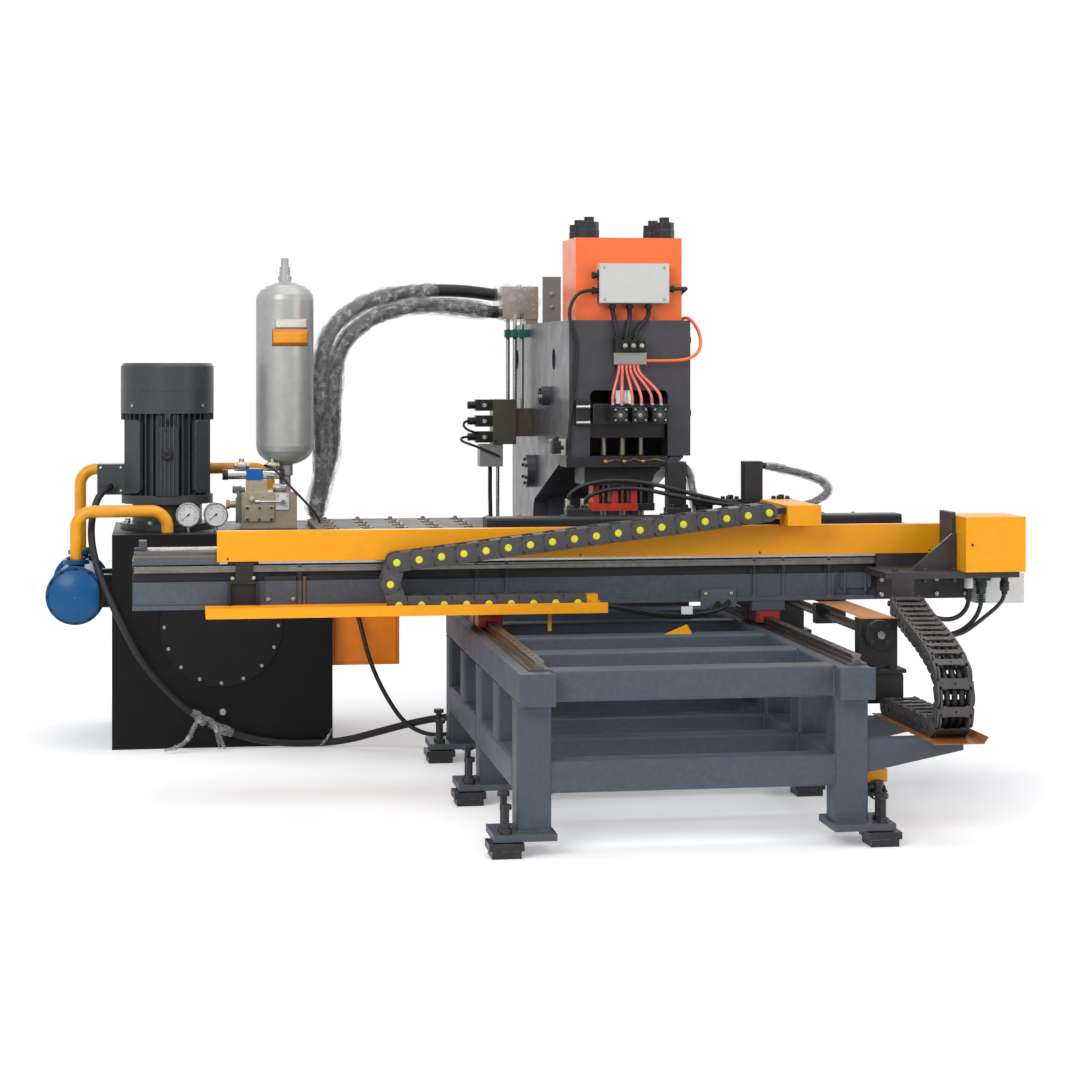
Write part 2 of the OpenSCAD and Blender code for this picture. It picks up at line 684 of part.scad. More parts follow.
module front_housing() color(press_grey) difference() {
    union() {
        bx([px0, px1], [housing_front, jaw_front], [jaw_z, press_top]);
        bx([px0 + 21, px0 + 73], [housing_front - 22, housing_front + 1], [1165, 1256]);
        for (z = [1176, 1232]) rod_x(px0 + 20, px0 + 80, housing_front - 14, z, 9);
        for (z = [1207, 1470]) hex_x(px1 - 1, px1 + 14, (housing_front + jaw_front)/2, z, 22);
    }
    plate_xz([[window_x[0], jaw_z - 1], [window_x[1], jaw_z - 1], [window_x[1], window_top - 20],
        [window_x[1] - 20, window_top - 20], [window_x[1] - 20, window_top],
        [window_x[0] + 20, window_top], [window_x[0] + 20, window_top - 20],
        [window_x[0], window_top - 20]], housing_front - 1, jaw_front + 1);
    for (x = [window_x[0] + 20, window_x[1] - 20])
        rod_y(housing_front - 1, jaw_front + 1, x, window_top - 20, 40);
    rod_z(window_top - 30, press_top + 1, 0, 0, piston_d + 10);
    for (x = rod_x) rod_z(crown_z, press_top + 1, x, rod_y[0], tie_hole);
}

module cylinder_block() color(orange) difference() {
    bx(block_x, block_y, [press_top, block_top]);
    rod_z(press_top - 1, bore_top, 0, 0, piston_d + 2*fit);
    for (x = rod_x, y = rod_y) rod_z(press_top - 1, block_top + 1, x, y, tie_hole);
}

module tie_rods() color([0.2, 0.2, 0.22])
    for (x = rod_x, y = rod_y) {
        rod_z(crown_z, block_top + 76, x, y, tie_d);
        for (k = [0, 1])
            difference() {
                hex_z(block_top + 30*k, block_top + 30*k + 28 + 2*(1 - k), x, y, 64 - 2*k);
                rod_z(block_top - 1, block_top + 80, x, y, tie_d + 2*fit);
            }
    }

module guide_plate() color([0.24, 0.22, 0.2]) difference() {
    union() {
        bx([-235, 130], [-180, -32], [guide_z, jaw_z]);
        bx([-165, 130], [-33, 100], [guide_z, jaw_z]);
        plate_xz([[-158, holder_z], [-158, guide_z + 1], [118, guide_z + 1], [118, guide_z - 12],
            [96, guide_z - 30], [96, holder_z + 30], [84, holder_z]], -110, 90);
    }
    for (x = punch_x) rod_z(holder_z - 1, jaw_z + 1, x, 0, rod_d + 2*fit);
}

module stripper() color(red) difference() {
    union() {
        bx([-135, 108], [-62, 50], [stripper_z, stripper_z + 26]);
        for (x = [-105, -punch_step/2, punch_step/2, 96])
            bx([x - 11, x + 11], [-50, 40], [stripper_z + 25, holder_z]);
    }
    for (x = punch_x) rod_z(stripper_z - 1, holder_z, x, 0, rod_d + 4);
}

module die_block() {
    color(dark) difference() {
        bx([-150, 150], [-120, 120], [arm_top, table_z - 14]);
        for (x = punch_x) rod_z(arm_top - 1, table_z, x, 0, 24);
    }
    color(steel)
        for (x = punch_x)
            difference() {
                rod_z(table_z - 14, table_z - 2, x, 0, 60);
                rod_z(table_z - 15, table_z, x, 0, 22);
            }
}

module ram() {
    color([0.26, 0.25, 0.26]) difference() {
        union() {
            bx([window_x[0] + 5, window_x[1] - 5], [-118, 100], [ram_z, ram_z + ram_t]);
            bx([window_x[0] + 5, window_x[1] - 5], [gag_front, 100], [ram_z + ram_t - 1, gag_top]);
        }
        for (x = punch_x) {
            rod_y(gag_front - 1, 0, x, selector_z, selector_rod_d + 2*fit);
            bx([x - 22, x + 22], [-60, 60], [selector_z - 20, selector_z + 20]);
            rod_z(ram_z - 1, selector_z - 30, x, 0, rod_d - 6);
        }
    }
    color(steel) {
        rod_z(gag_top, bore_top - 22, 0, 0, piston_d);
        for (x = punch_x) {
            rod_z(905, ram_z, x, 0, rod_d);
            rod_z(835, 905, x, 0, rod_d - 8);
            rod_z(ram_z, ram_z + 40, x, 0, rod_d - 6 - 2*fit);
        }
    }
}

module selector_cylinders() color(dark)
    for (x = punch_x) {
        h = selector_side/2;
        difference() {
            union() {
                bx([x - h, x + h], [selector_front + 10, gag_front],
                    [selector_z - h, selector_z + h]);
                bx([x - h + 1, x + h - 1], [selector_front, selector_front + 8],
                    [selector_z - h + 1, selector_z + h - 1]);
                rod_y(selector_front + 7, selector_front + 11, x, selector_z, 40);
            }
            rod_y(selector_front - 1, gag_front + 1, x, selector_z, selector_rod_d + 2*fit);
        }
        for (y = [-262, -292]) {
            rod_z(selector_z + h, selector_z + h + 8, x + (y == -262 ? -13 : 13), y, 12);
        }
    }

module selector(i) color(steel) {
    rod_y(selector_front + 2, 0, punch_x[i], selector_z, selector_rod_d);
    bx([punch_x[i] - 20, punch_x[i] + 20], [-24, 56], [selector_z - 18, selector_z + 18]);
}

module selector_1() selector(0);
module selector_2() selector(1);
module selector_3() selector(2);

module press_controls() {
    junction_box();
    valve_block();
}

module junction_box() color(pale) {
    z = [1600, 1742];
    bx([-112, 142], [-156, block_y[0]], z);
    bx([-110, 140], [-160, -156], [z[0] + 2, z[1] - 2]);
    for (g = [[-134, 1645], [-134, 1700]]) {
        rod_x(g[0] + 8, -112, -130, g[1], 20);
        hex_x(g[0], g[0] + 10, -130, g[1], 22);
    }
    rod_x(142, 156, -130, 1652, 20);
    hex_x(154, 164, -130, 1652, 22);
    for (x = [-60, 2, 71]) {
        rod_z(1590, z[0], x, -130, 22);
        hex_z(1582, 1592, x, -130, 24);
    }
    rod_z(press_top, press_top + 8, 0, block_y[1] + 60, 20);
}

module valve_block() {
    color(dark) {
        bx([-62, 46], [-206, housing_front], [1425, 1470]);
        for (x = [-52, -18, 16]) bx([x - 12, x + 12], [-198, -160], [1470, 1478]);
        for (x = [-30, 0, 30]) bx([x - 12, x + 12], [-214, -206], [1430, 1466]);
    }
    color(steel) bx([-66, 52], [-190, housing_front], [1382, 1424.5]);
}

module press_manifold() {
    my = [700, 800];
    color([0.36, 0.34, 0.26]) {
        bx([-376, -285], my, [1070, 1245]);
        bx([-285, px0], [my[0] + 20, my[1] - 20], [1100, 1210]);
    }
    color(dark)
        for (z = [1222, 1160, 1098]) {
            bx([-440, -376], [my[0] + 22, my[1] - 22], [z - 22, z + 22]);
            rod_x(-470, -440, 750, z, 30);
            rod_y(my[0], my[0] + 22, -410, z, 34);
        }
    color([0.55, 0.56, 0.55]) bx([-426, -336], [my[0] + 10, my[1] - 10], [983, 1070]);
    color(silver) {
        for (i = [0:2]) {
            x = px0 - 24 - 20*i;
            y = 830 + 55*i;
            rod_z(1100, press_top + (i == 2 ? 100 : 40), x, y, 16);
            rod_y(my[1] - 2, y, x, 1112, 13);
        }
        rod_z(200, 983, -350, 760, 14);
    }
    color([0.05, 0.35, 0.3])
        for (i = [0:2]) {
            x = px0 - 24 - 20*i;
            y = 830 + 55*i;
            difference() {
                bx([x - 13, px0], [y - 18, y + 18], [1488, 1518]);
                rod_z(1480, 1530, x, y, 16 + 2*fit);
            }
        }
    color(silver) {
        bx([-316, -170], [880, 960], [1560, 1690]);
        bx([px0, -170], [890, 950], [press_top, 1560]);
        rod_x(-330, -316, 925, 1658, 50);
        rod_x(-330, -316, 890, 1588, 50);
    }
}

// ================= tables =================
left_table = [-1100, px0 - 15];
right_table = [px1 + 15, 1085];
table_y = [-120, 620];
table_t = 21;

module ball_tables() {
    color([0.45, 0.45, 0.47])
        for (t = [left_table, right_table]) bx(t, table_y, [table_z - 8 - table_t, table_z - 8]);
    color(slate)
        for (y = [0, 480]) {
            z = table_z - 8 - table_t;
            plate_xz([[-1005, z - 45], [-1005, z], [px0, z], [px0, z - 110],
                [px0 - 120, z - 110]], y - 30, y + 30);
            plate_xz([[1000, z - 45], [1000, z], [px1, z], [px1, z - 110],
                [px1 + 120, z - 110]], y - 30, y + 30);
        }
}

module table_balls() color(steel)
    for (t = [left_table, right_table], i = [0:6], j = [0:4]) {
        x = t[0] + 60 + i*(t[1] - t[0] - 120)/6;
        y = table_y[0] + 70 + j*150;
        translate([x, y, table_z - 8]) cylinder(h = 4, d = 44, $fn = 24);
        translate([x, y, table_z - 4]) rotate_extrude($fn = 24) intersection() {
            circle(r = 9);
            square(20);
        }
    }

// ================= power unit =================
module tank() color(dark) difference() {
    union() {
        bx([tank_x0, tank_x1], [tank_y0, tank_y1], [0, tank_h]);
    }
    bx([tank_x0 + 6, tank_x1 - 6], [tank_y0 + 6, tank_y1 - 6], [6, tank_h - 10]);
    rod_y(tank_y0 - 1, tank_y0 + 7, hatch_x, hatch_z, hatch_d - 80);
    rod_z(tank_h - 11, tank_h + 1, motor_x, motor_y, 200);
}

module access_cover() {
    color(dark) rod_y(tank_y0 - 8, tank_y0, hatch_x, hatch_z, hatch_d);
    color(steel) {
        for (k = [0:15])
            rotate_about_y(hatch_x, hatch_z, 22.5*k)
                hex_y(tank_y0 - 16, tank_y0 - 8, hatch_x, hatch_z + hatch_d/2 - 16, 12);
        rod_y(tank_y0 - 6, tank_y0, hatch_x + 5, 130, 40);
        hex_y(tank_y0 - 20, tank_y0 - 6, hatch_x + 5, 130, 22);
    }
}

module side_box() color([0.87, 0.45, 0.1]) {
    bx([tank_x1, tank_x1 + 250], [250, 420], [280, 660]);
    bx([tank_x1 + 12, tank_x1 + 238], [246, 250], [292, 648]);
    rod_y(242, 246, -945, 480, 30);
}

module fin_ring(d, h, n, fin_t, fin_h) {
    linear_extrude(h) {
        circle(d = d - 2*fin_h);
        for (k = [0:n - 1]) rotate(360*k/n) translate([d/2 - fin_h - 3, -fin_t/2]) square([fin_h + 3, fin_t]);
    }
}

module motor_housing() {
    color([0.25, 0.27, 0.28]) {
        difference() {
            union() {
                translate([motor_x, motor_y, motor_z]) fin_ring(motor_d, cowl_z - motor_z, 36, 4, 24);
                rod_z(motor_z - 20, motor_z + 12, motor_x, motor_y, motor_d + 20);
                rod_z(tank_h, motor_z - 20, motor_x, motor_y, motor_d - 60);
                rod_z(tank_h, tank_h + 22, motor_x, motor_y, motor_d + 30);
                translate([motor_x - 40, motor_y - motor_d/2 - 14, motor_z + 12])
                    cube([80, 40, cowl_z - motor_z - 60]);
            }
            rod_z(motor_z, cowl_z + 1, motor_x, motor_y, 38 + 2*fit);
        }
        bx([-1885, motor_x - motor_d/2 + 20], [480, 600], [motor_z + 14, motor_z + 127]);
        hex_y(464, 480, -1835, 930, 36);
    }
}

module fan_cowl() color([0.26, 0.28, 0.29]) translate([motor_x, motor_y, 0]) {
    difference() {
        union() {
            translate([0, 0, cowl_z]) cylinder(h = cowl_top - cowl_z - 12, d = cowl_d);
            translate([0, 0, cowl_top - 12]) cylinder(h = 12, d1 = cowl_d, d2 = cowl_d - 20);
        }
        translate([0, 0, cowl_z - 1]) cylinder(h = cowl_top - cowl_z - 11, d = cowl_d - 6);
        for (r = [40, 62, 84, 106, 128])
            translate([0, 0, cowl_top - 14]) difference() {
                cylinder(h = 20, r = r + 7);
                translate([0, 0, -1]) cylinder(h = 22, r = r - 7);
                for (a = [0, 45, 90, 135]) rotate(a) translate([-160, -6, -2]) cube([320, 12, 24]);
            }
    }
    for (k = [0:3]) rotate(90*k) translate([motor_d/2, -10, cowl_z - 25]) cube([12, 20, 45]);
}

module fan_rotor() color([0.3, 0.3, 0.3]) translate([motor_x, motor_y, 0]) {
    translate([0, 0, motor_z + 1]) cylinder(h = cowl_top - motor_z - 40, d = 38);
    translate([0, 0, cowl_z + 40]) {
        cylinder(h = 60, d = 90);
        for (k = [0:6]) rotate(360*k/7) translate([40, -2.5, 5]) cube([98, 5, 50]);
    }
}

module oil_cooler() {
    color(blue) {
        rod_y(230, cooler_back, cooler_x, cooler_z, cooler_d);
        for (y = [212, cooler_back]) rod_y(y, y + 18, cooler_x, cooler_z, cooler_d + 34);
        translate([cooler_x, 212, cooler_z]) rotate([90, 0, 0]) bell();
        translate([cooler_x, cooler_back + 18, cooler_z]) rotate([-90, 0, 0]) bell();
        for (y = pipe_y) {
            rod_z(cooler_z, cooler_z + 108, cooler_x, y, 60);
            rod_z(cooler_z + 108, cooler_z + 124, cooler_x, y, 92);
        }
    }
    color(dark)
        for (y = [400, 640])
            bx([cooler_x + cooler_d/2 - 4, tank_x0], [y - 20, y + 20],
                [cooler_z - 60, cooler_z + 60]);
}

module bell() rotate_extrude() intersection() {
    translate([0, -150]) circle(r = 200);
    square([cooler_d/2 + 4, 60]);
}

module elbow(d) rotate_extrude(angle = 90) translate([bend_r, 0]) circle(d = d);

module cooler_pipes() color(ochre) {
    top = cooler_z + 124;
    for (p = [[pipe_y[0], 848, motor_x - bend_r], [pipe_y[1], 983, -1300]]) {
        y = p[0];
        z = p[1];
        rod_z(top, z - bend_r, cooler_x, y, pipe_d);
        translate([cooler_x + bend_r, y, z - bend_r]) rotate([90, 0, 180]) elbow(pipe_d);
        rod_x(cooler_x + bend_r, p[2], y, z, pipe_d);
        translate([p[2], y, z - bend_r]) rotate([90, 0, 0]) elbow(pipe_d);
        rod_z(tank_h, z - bend_r, p[2] + bend_r, y, pipe_d);
    }
}

module gauges() {
    for (x = [-1553, -1453]) {
        color(steel) {
            rod_z(tank_h, 800, x, 330, 14);
            difference() {
                rod_y(300, 340, x, 832, 90);
                rod_y(299, 304, x, 832, 78);
            }
        }
    }
}

vessel_r = vessel_d/2;
vessel_z = [1000, 1700];
function dome(z, s) = [for (a = [0:10:80]) [vessel_r*cos(a), z + s*0.7*vessel_r*sin(a)]];
module accumulator() color(silver) translate([vessel_x, vessel_y, 0]) {
    low = vessel_z[0] + 0.7*vessel_r;
    high = vessel_z[1] - 0.7*vessel_r;
    rotate_extrude() polygon(concat([[0, vessel_z[0] - 94], [22, vessel_z[0] - 94],
        [22, vessel_z[0] - 40],
        [30, vessel_z[0] - 36], [30, vessel_z[0] + 2]],
        [for (p = dome(low, -1)) if (p[1] > vessel_z[0] + 4 || p[0] > 40) each []],
        [for (a = [-75:15:0]) [vessel_r*cos(a), low + 0.7*vessel_r*sin(a)]],
        [for (a = [0:15:75]) [vessel_r*cos(a), high + 0.7*vessel_r*sin(a)]],
        [[26, vessel_z[1] - 1], [26, vessel_z[1] + 14], [20, vessel_z[1] + 18],
        [20, vessel_z[1] + 50],
        [14, vessel_z[1] + 54], [14, vessel_z[1] + 82], [0, vessel_z[1] + 82]]));
}

module hydraulic_controls() {
    gauges();
    hpu_manifold();
}

module hpu_manifold() {
    color(beige) {
        bx([-1355, -1150], [440, 620], [tank_h, 906]);
        bx([-1345, -1236], [425, 440], [798, 856]);
        bx([-1338, -1260], [450, 520], [906, 949]);
    }
    color(pale) bx([-1229, -1180], [428, 440], [840, 900]);
    color(blue) bx([-1337, -1276], [450, 520], [949, 992]);
    color(steel) {
        rod_x(-1405, -1337, 485, 970, 36);
        rod_x(-1276, -1215, 485, 970, 36);
        rod_x(-1400, -1355, 470, 860, 26);
        hex_x(-1412, -1400, 470, 860, 30);
        rod_y(420, 440, -1318, 880, 24);
        for (x = [-1335, -1290, -1246], z = [806, 848]) rod_y(420, 425, x, z, 9);
    }
    color(dark) {
        rod_x(-1425, -1405, 485, 970, 40);
        rod_x(-1215, -1195, 485, 970, 40);
    }
}

module manifold_lever() color(steel) {
    rod_y(400, 428 - 0.3, -1204, 872, 18);
    rod_x(-1300, -1204, 408, 872, 8);
    rod_x(-1306, -1290, 408, 872, 14);
}

// ================= cords of the base =================
module main_hoses() color(dark) {
    cord(hose_a, hose_d, [0, 1, 0], 12);
    cord(hose_b, hose_d, [0, 1, 0], 12);
    for (p = [hose_a[0], hose_b[0]]) rod_z(tank_h, p[2], p[0], p[1], 44);
}

module floor_cables() color(dark) {
    cord(motor_lead, motor_lead_d, [1, -0.6, 0.6]);
    cord(box_lead, box_lead_d, [1, -0.6, 0.6]);
}

module press_cables() color(dark) {
    cord(lead_left, lead_left_d, [0, 1, 0.2]);
    cord(lead_right, lead_right_d, [1, 0, 0.3]);
    for (p = drop_leads) cord(p, drop_lead_d, [1, 0, 0]);
    cord(orange_line, orange_line_d, [0, 0.2, 1]);
}

module air_hoses() color([0.95, 0.5, 0.45])
    for (p = air_lines) cord(p, air_d, [1, 0, 0]);

module y_chain() color(chain_grey)
    for (i = [0:len(y_steps) - 1])
        translate([y_chain_x, y_chain_start, y_low_z] + add_up(y_steps, i))
            rotate([0, 0, 90 - y_headings[i][1]]) rotate([0, -y_headings[i][0], 0])
                chain_link(y_pitch, y_chain_h, y_chain_w, link_t);

// ================= cross beam =================
module x_beam() {
    color(slate) {
        difference() {
            bx([beam_left, beam_right], [beam_front, beam_back], [beam_z, beam_top]);
            bx([beam_left - 1, beam_right + 1], [beam_front - 1, beam_front + web_set],
                [beam_z + flange_t, beam_top - flange_t]);
            bx([beam_left - 1, beam_right + 1], [beam_back - web_set, beam_back + 1],
                [beam_z + flange_t, beam_top - flange_t]);
            bx([beam_left + 10, beam_right - 10],
                [beam_front + web_set + web_t, beam_back - web_set - web_t],
                [beam_z + flange_t, beam_top - flange_t]);
        }
        for (x = [-1210, -640, -540, 286, 384, 540, 860])
            bx([x - 5, x + 5], [beam_front + 2, beam_front + web_set],
                [beam_z + flange_t, beam_top - flange_t]);
        bx([-1322, -1222], [beam_front + 2, beam_front + web_set], [beam_z + flange_t, 706]);
        bx([583, 688], [beam_front + 12, beam_front + web_set], [640, 692]);
        for (x = [595, 667]) rod_z(626, 700, x, beam_front + 9, 9);
        difference() {
            bx([103, 219], [beam_front - 11, beam_front], [584, 643]);
            for (x = [118, 204]) rod_y(beam_front - 12, beam_front + 1, x, 630, 8);
        }
        for (x = screw_seats)
            difference() {
                bx([x, x + 25], [x_axis_y - 38, x_axis_y + 38], [beam_top, x_axis_z + 34]);
                rod_x(x - 1, x + 26, x_axis_y, x_axis_z, x_screw_d - 6 + 2*fit);
            }
    }
    color(steel)
        for (y = x_rail_y)
            translate([beam_left + 5, y, beam_top]) rotate([90, 0, 90])
                linear_extrude(beam_right - beam_left - 75) guide_profile(12, x_rail_h);
    color(dark) {
        bx([-1415, -1359], [beam_front - 11, beam_front], [690, cover_z[0] - 1]);
        bx([-1439, -1342], [beam_front - 11, beam_front + web_set], [684, 691]);
        for (x = [-1439, -1350])
            bx([x, x + 8], [beam_front - 11, beam_front + web_set], [beam_z + flange_t, 685]);
        rod_z(beam_z + flange_t, 704, -1195, beam_front + 8, 14);
    }
}

// Bearing block that wraps a guide rail; it runs along X of its own frame.
module bearing(length, half, z0, z1, r_half, r_top) difference() {
    translate([-length/2, -half, z0]) cube([length, 2*half, z1 - z0]);
    translate([-length/2 - 1, -r_half - gap, -1]) cube([length + 2, 2*(r_half + gap), r_top + gap + 1]);
}

module bearing_blocks() {
    seat = frame_h + strip_h;
    for (x = rail_x) {
        for (y = [beam_front + 50, beam_back - 52]) {
            color(steel) translate([x, y, seat]) rotate(90)
                bearing(block_l, block_half, 6, 46, rail_half, rail_top);
            color(red)
                for (s = [-1, 1])
                    translate([x, y + s*(block_l/2 + 3), seat]) rotate(90)
                        bearing(6, block_half - 6, 7, 42, rail_half, rail_top);
        }
        color(slate) bx([x - 55, x + 55], [beam_front + 2, beam_back - 2], [seat + 46, beam_z]);
    }
    color(dark) {
        x1 = y_axis_x + strip_half + 22;
        difference() {
            bx([y_axis_x - 34, x1], nut_y, [y_axis_z - 32, housing_top - 14]);
            rod_y(nut_y[0] - 1, nut_y[1] + 1, y_axis_x, y_axis_z, y_screw_d + 2*fit);
        }
        bx([y_axis_x + strip_half + 4, x1], nut_y, [housing_top - 14, beam_z]);
    }
}

module beam_cover() {
    color(amber)
        plate_yz([[cover_front, cover_z[0]], [cover_front, cover_z[1]],
            [cover_front + 48, cover_z[1]],
            [cover_front + 48, cover_z[1] - sheet], [cover_front + sheet, cover_z[1] - sheet],
            [cover_front + sheet, cover_z[0]]], cover_x[0], cover_x[1]);
    color(dark)
        for (x = [-1440, -900, -300, 300, 880])
            bx([x - 15, x + 15], [cover_front + sheet, beam_front], [beam_top - 5, beam_top]);
}

module gutter() color(amber) {
    plate_yz([[gutter_front, gutter_z], [gutter_front, gutter_z + 34],
        [gutter_front + sheet, gutter_z + 34],
        [gutter_front + sheet, gutter_z + sheet], [beam_front - sheet, gutter_z + sheet],
        [beam_front - sheet, beam_z + 12], [beam_front, beam_z + 12], [beam_front, gutter_z]],
        gutter_x[0], gutter_x[1]);
    bx([x_chain_start + 34, x_chain_start + 70], [x_chain_y - 20, x_chain_y + 20],
        [gutter_z + sheet, x_low_z + 24]);
}

module x_chain() color(chain_grey)
    for (i = [0:len(x_steps) - 1]) {
        p = [x_chain_start, x_low_z] + add_up(x_steps, i);
        translate([p[0], x_chain_y, p[1]]) rotate([0, -x_headings[i], 0])
            chain_link(x_pitch, x_chain_h, x_chain_w, link_t);
    }

// ================= crosswise servo at the right end =================
shelf_z = 690;
shelf_t = 21;
servo_x = [920, 1122];
servo_y = [-1100, -895];
servo_top = 889;

module servo_bracket() color(press_grey) {
    bx([662, servo_x[1] - 10], [-1070, beam_front - 12], [shelf_z, shelf_z + shelf_t]);
    plate_xz([[760, shelf_z + shelf_t], [servo_x[0] - gap, shelf_z + shelf_t],
        [servo_x[0] - gap, 832],
        [servo_x[0] - 14, 832]], -1010, -1000);
    bx([servo_x[0] - 16, servo_x[0] - gap], [-1000, -880], [shelf_z + shelf_t, 900]);
    bx([700, beam_right - 5], [beam_front - 12, beam_front], [beam_z + 2, cover_z[0] - 1]);
    translate(y_end) rotate([0, 0, 90 - y_lean]) rotate([0, -10, 0])
        translate([-14, 0.6 - y_ear, -12]) cube([60, 2*y_ear - 1.2, 24]);
    bx([y_end[0] - 35, y_end[0] + 40], [y_end[1] + 34, y_end[1] + 46], [y_end[2] - 2, shelf_z]);
    for (x = [700, 800, 900]) {
        hex_z(shelf_z - 14, shelf_z, x, -1040, 16);
        hex_z(shelf_z + shelf_t, shelf_z + shelf_t + 10, x, -1040, 16);
    }
}

module servo_cover() color(amber) difference() {
    bx(servo_x, servo_y, [shelf_z + shelf_t, servo_top]);
    bx([servo_x[0] + sheet, servo_x[1] - sheet], [servo_y[0] + sheet, servo_y[1] + 1],
        [shelf_z + shelf_t - 1, servo_top - sheet]);
}

module servo_motor() {
    color(dark) {
        bx([servo_x[0] + 10, servo_x[0] + 150], [-1050, -940], [shelf_z + shelf_t, 830]);
        bx([servo_x[0] + 150, servo_x[0] + 190], [-1040, -950], [740, 820]);
        rod_z(650, shelf_z, 1006, -1000, 34);
        hex_z(632, 652, 1006, -1000, 30);
        rod_z(650, shelf_z, 960, -1010, 26);
        hex_z(640, 652, 960, -1010, 24);
    }
    color(pale) bx([beam_right, 1190], [-900, -790], [590, 688]);
}

module servo_cables() color(dark) {
    cord(servo_line_a, servo_line_d, [0, 1, 0]);
    cord(servo_line_b, servo_line_d, [0, 1, 0]);
    for (p = loop_lines) cord(p, servo_line_d, [0, 1, 0.1]);
}

// ================= clamp carriage =================
module carriage() {
    color(dark) {
        bx(car_x, [beam_front - 3, car_beam_y[1] + 2], [car_plate_z, car_plate_z + car_plate_t]);
        tube_x((car_beam_y[0] + car_beam_y[1])/2, (car_plate_z + car_plate_t + car_beam_top)/2,
            car_x[0], car_x[1], car_beam_y[1] - car_beam_y[0],
            car_beam_top - car_plate_z - car_plate_t);
    }
    color(steel)
        for (x = [-500, 135, 770], y = x_rail_y)
            translate([x, y, beam_top]) bearing(80, 24, 8, car_plate_z - beam_top, 12, x_rail_h);
    color(dark) difference() {
        bx([200, 270], [x_axis_y - 32, x_axis_y + 32], [beam_top + 3, car_plate_z]);
        rod_x(199, 271, x_axis_y, x_axis_z, x_screw_d + 2*fit);
    }
}

module clamp_bodies() color(dark)
    for (i = [0:2]) {
        x = clamp_x[i];
        difference() {
            union() {
                plate_yz([[car_beam_y[1] + 2, 768], [clamp_back, 768], [clamp_back, table_z],
                    [clamp_back - 78, table_z], [clamp_back - 90, 812], [clamp_back - 90, 870],
                    [car_beam_y[1] + 2, 870]], x - clamp_half, x + clamp_half);
            }
            bx([x - jaw_half - gap, x + jaw_half + gap], [car_beam_y[1] + 40, clamp_back + 1],
                [table_z, 871]);
        }
        rod_x(x - clamp_half, x + clamp_half, jaw_pivot_y, jaw_pivot_z, 14);
        bx([x - 42, x + 42], [car_beam_y[1] - 20, car_beam_y[1] + 38],
            [car_beam_top, car_beam_top + 22]);
        for (dx = [-24, 24], dy = [-8, 24])
            hex_z(car_beam_top + 22, car_beam_top + 34, x + dx, car_beam_y[1] + dy, 18);
        if (i > 0) bx([x - 31, x + 31], [-532, -470], [870, 1050]);
    }

module clamp_jaw(i) color([0.22, 0.22, 0.24]) {
    x = clamp_x[i];
    difference() {
        plate_yz([[clamp_back + 2, table_z + 14], [clamp_back + 2, table_z + 34],
            [jaw_pivot_y + 30, jaw_pivot_z + 18], [jaw_pivot_y - 20, jaw_pivot_z + 18],
            [jaw_pivot_y - 36, jaw_pivot_z - 8], [jaw_pivot_y + 10, jaw_pivot_z - 20],
            [clamp_back - 30, table_z + 14]], x - jaw_half, x + jaw_half);
        rod_x(x - jaw_half - 1, x + jaw_half + 1, jaw_pivot_y, jaw_pivot_z, 14 + 2*fit);
    }
}

module clamp_jaw_1() clamp_jaw(0);
module clamp_jaw_2() clamp_jaw(1);
module clamp_jaw_3() clamp_jaw(2);

module chain_box() color(amber) {
    y = x_chain_y - x_chain_w/2 - 4;
    bx([364, 476], [y, -600], [car_beam_top, car_beam_top + 52]);
    bx([364, 476], [y, y + 100], [cover_z[1] + 6, car_beam_top + 1]);
    translate([x_end[0], x_chain_y, x_end[1]]) rotate([0, -x_rise, 0])
        translate([-14, 0.6 - x_ear, -10]) cube([76, 2*x_ear - 1.2, 20]);
}

module clamp_hoses() color(dark) {
    cord(clamp_line_a, clamp_line_d, [0, 1, 0.1]);
    cord(clamp_line_b, clamp_line_d, [0, 1, 0.1]);
    cord(wrap_line, wrap_line_d, [0, 0.1, 1]);
    cord(post_line, wrap_line_d, [0, 1, 0.1]);
}

module y_screw() color(steel) {
    rod_y(housing_y[0] + housing_l + 1, housing_y[1] - 1, y_axis_x, y_axis_z, y_screw_d);
    rod_y(housing_y[0] - 36, housing_y[1] + housing_l - 1, y_axis_x, y_axis_z, y_screw_d - 8);
}

module x_screw() color(steel) {
    rod_x(screw_seats[0] + 26, screw_seats[1] - 1, x_axis_y, x_axis_z, x_screw_d);
    rod_x(screw_seats[0] + 2, screw_seats[1] + 24, x_axis_y, x_axis_z, x_screw_d - 6);
}

frame_posts();
frame_side_rails();
frame_cross_rails();
leveling_feet();
y_guide_rails();
y_drive_bed();
chain_tray();
lubricator();
press_side_plates();
press_inner_frame();
front_housing();
cylinder_block();
tie_rods();
guide_plate();
stripper();
die_block();
press_controls();
press_manifold();
ball_tables();
table_balls();
tank();
access_cover();
side_box();
motor_housing();
fan_cowl();
oil_cooler();
cooler_pipes();
accumulator();
hydraulic_controls();
y_chain();
main_hoses();
floor_cables();
press_cables();
air_hoses();
x_beam();
bearing_blocks();
beam_cover();
gutter();
x_chain();
servo_bracket();
servo_cover();
servo_motor();
servo_cables();
carriage();
clamp_bodies();
chain_box();
clamp_hoses();
clamp_jaw_1();
clamp_jaw_2();
clamp_jaw_3();
y_screw();
x_screw();
ram();
selector_cylinders();
selector_1();
selector_2();
selector_3();
fan_rotor();
manifold_lever();
lubricator_wheel();
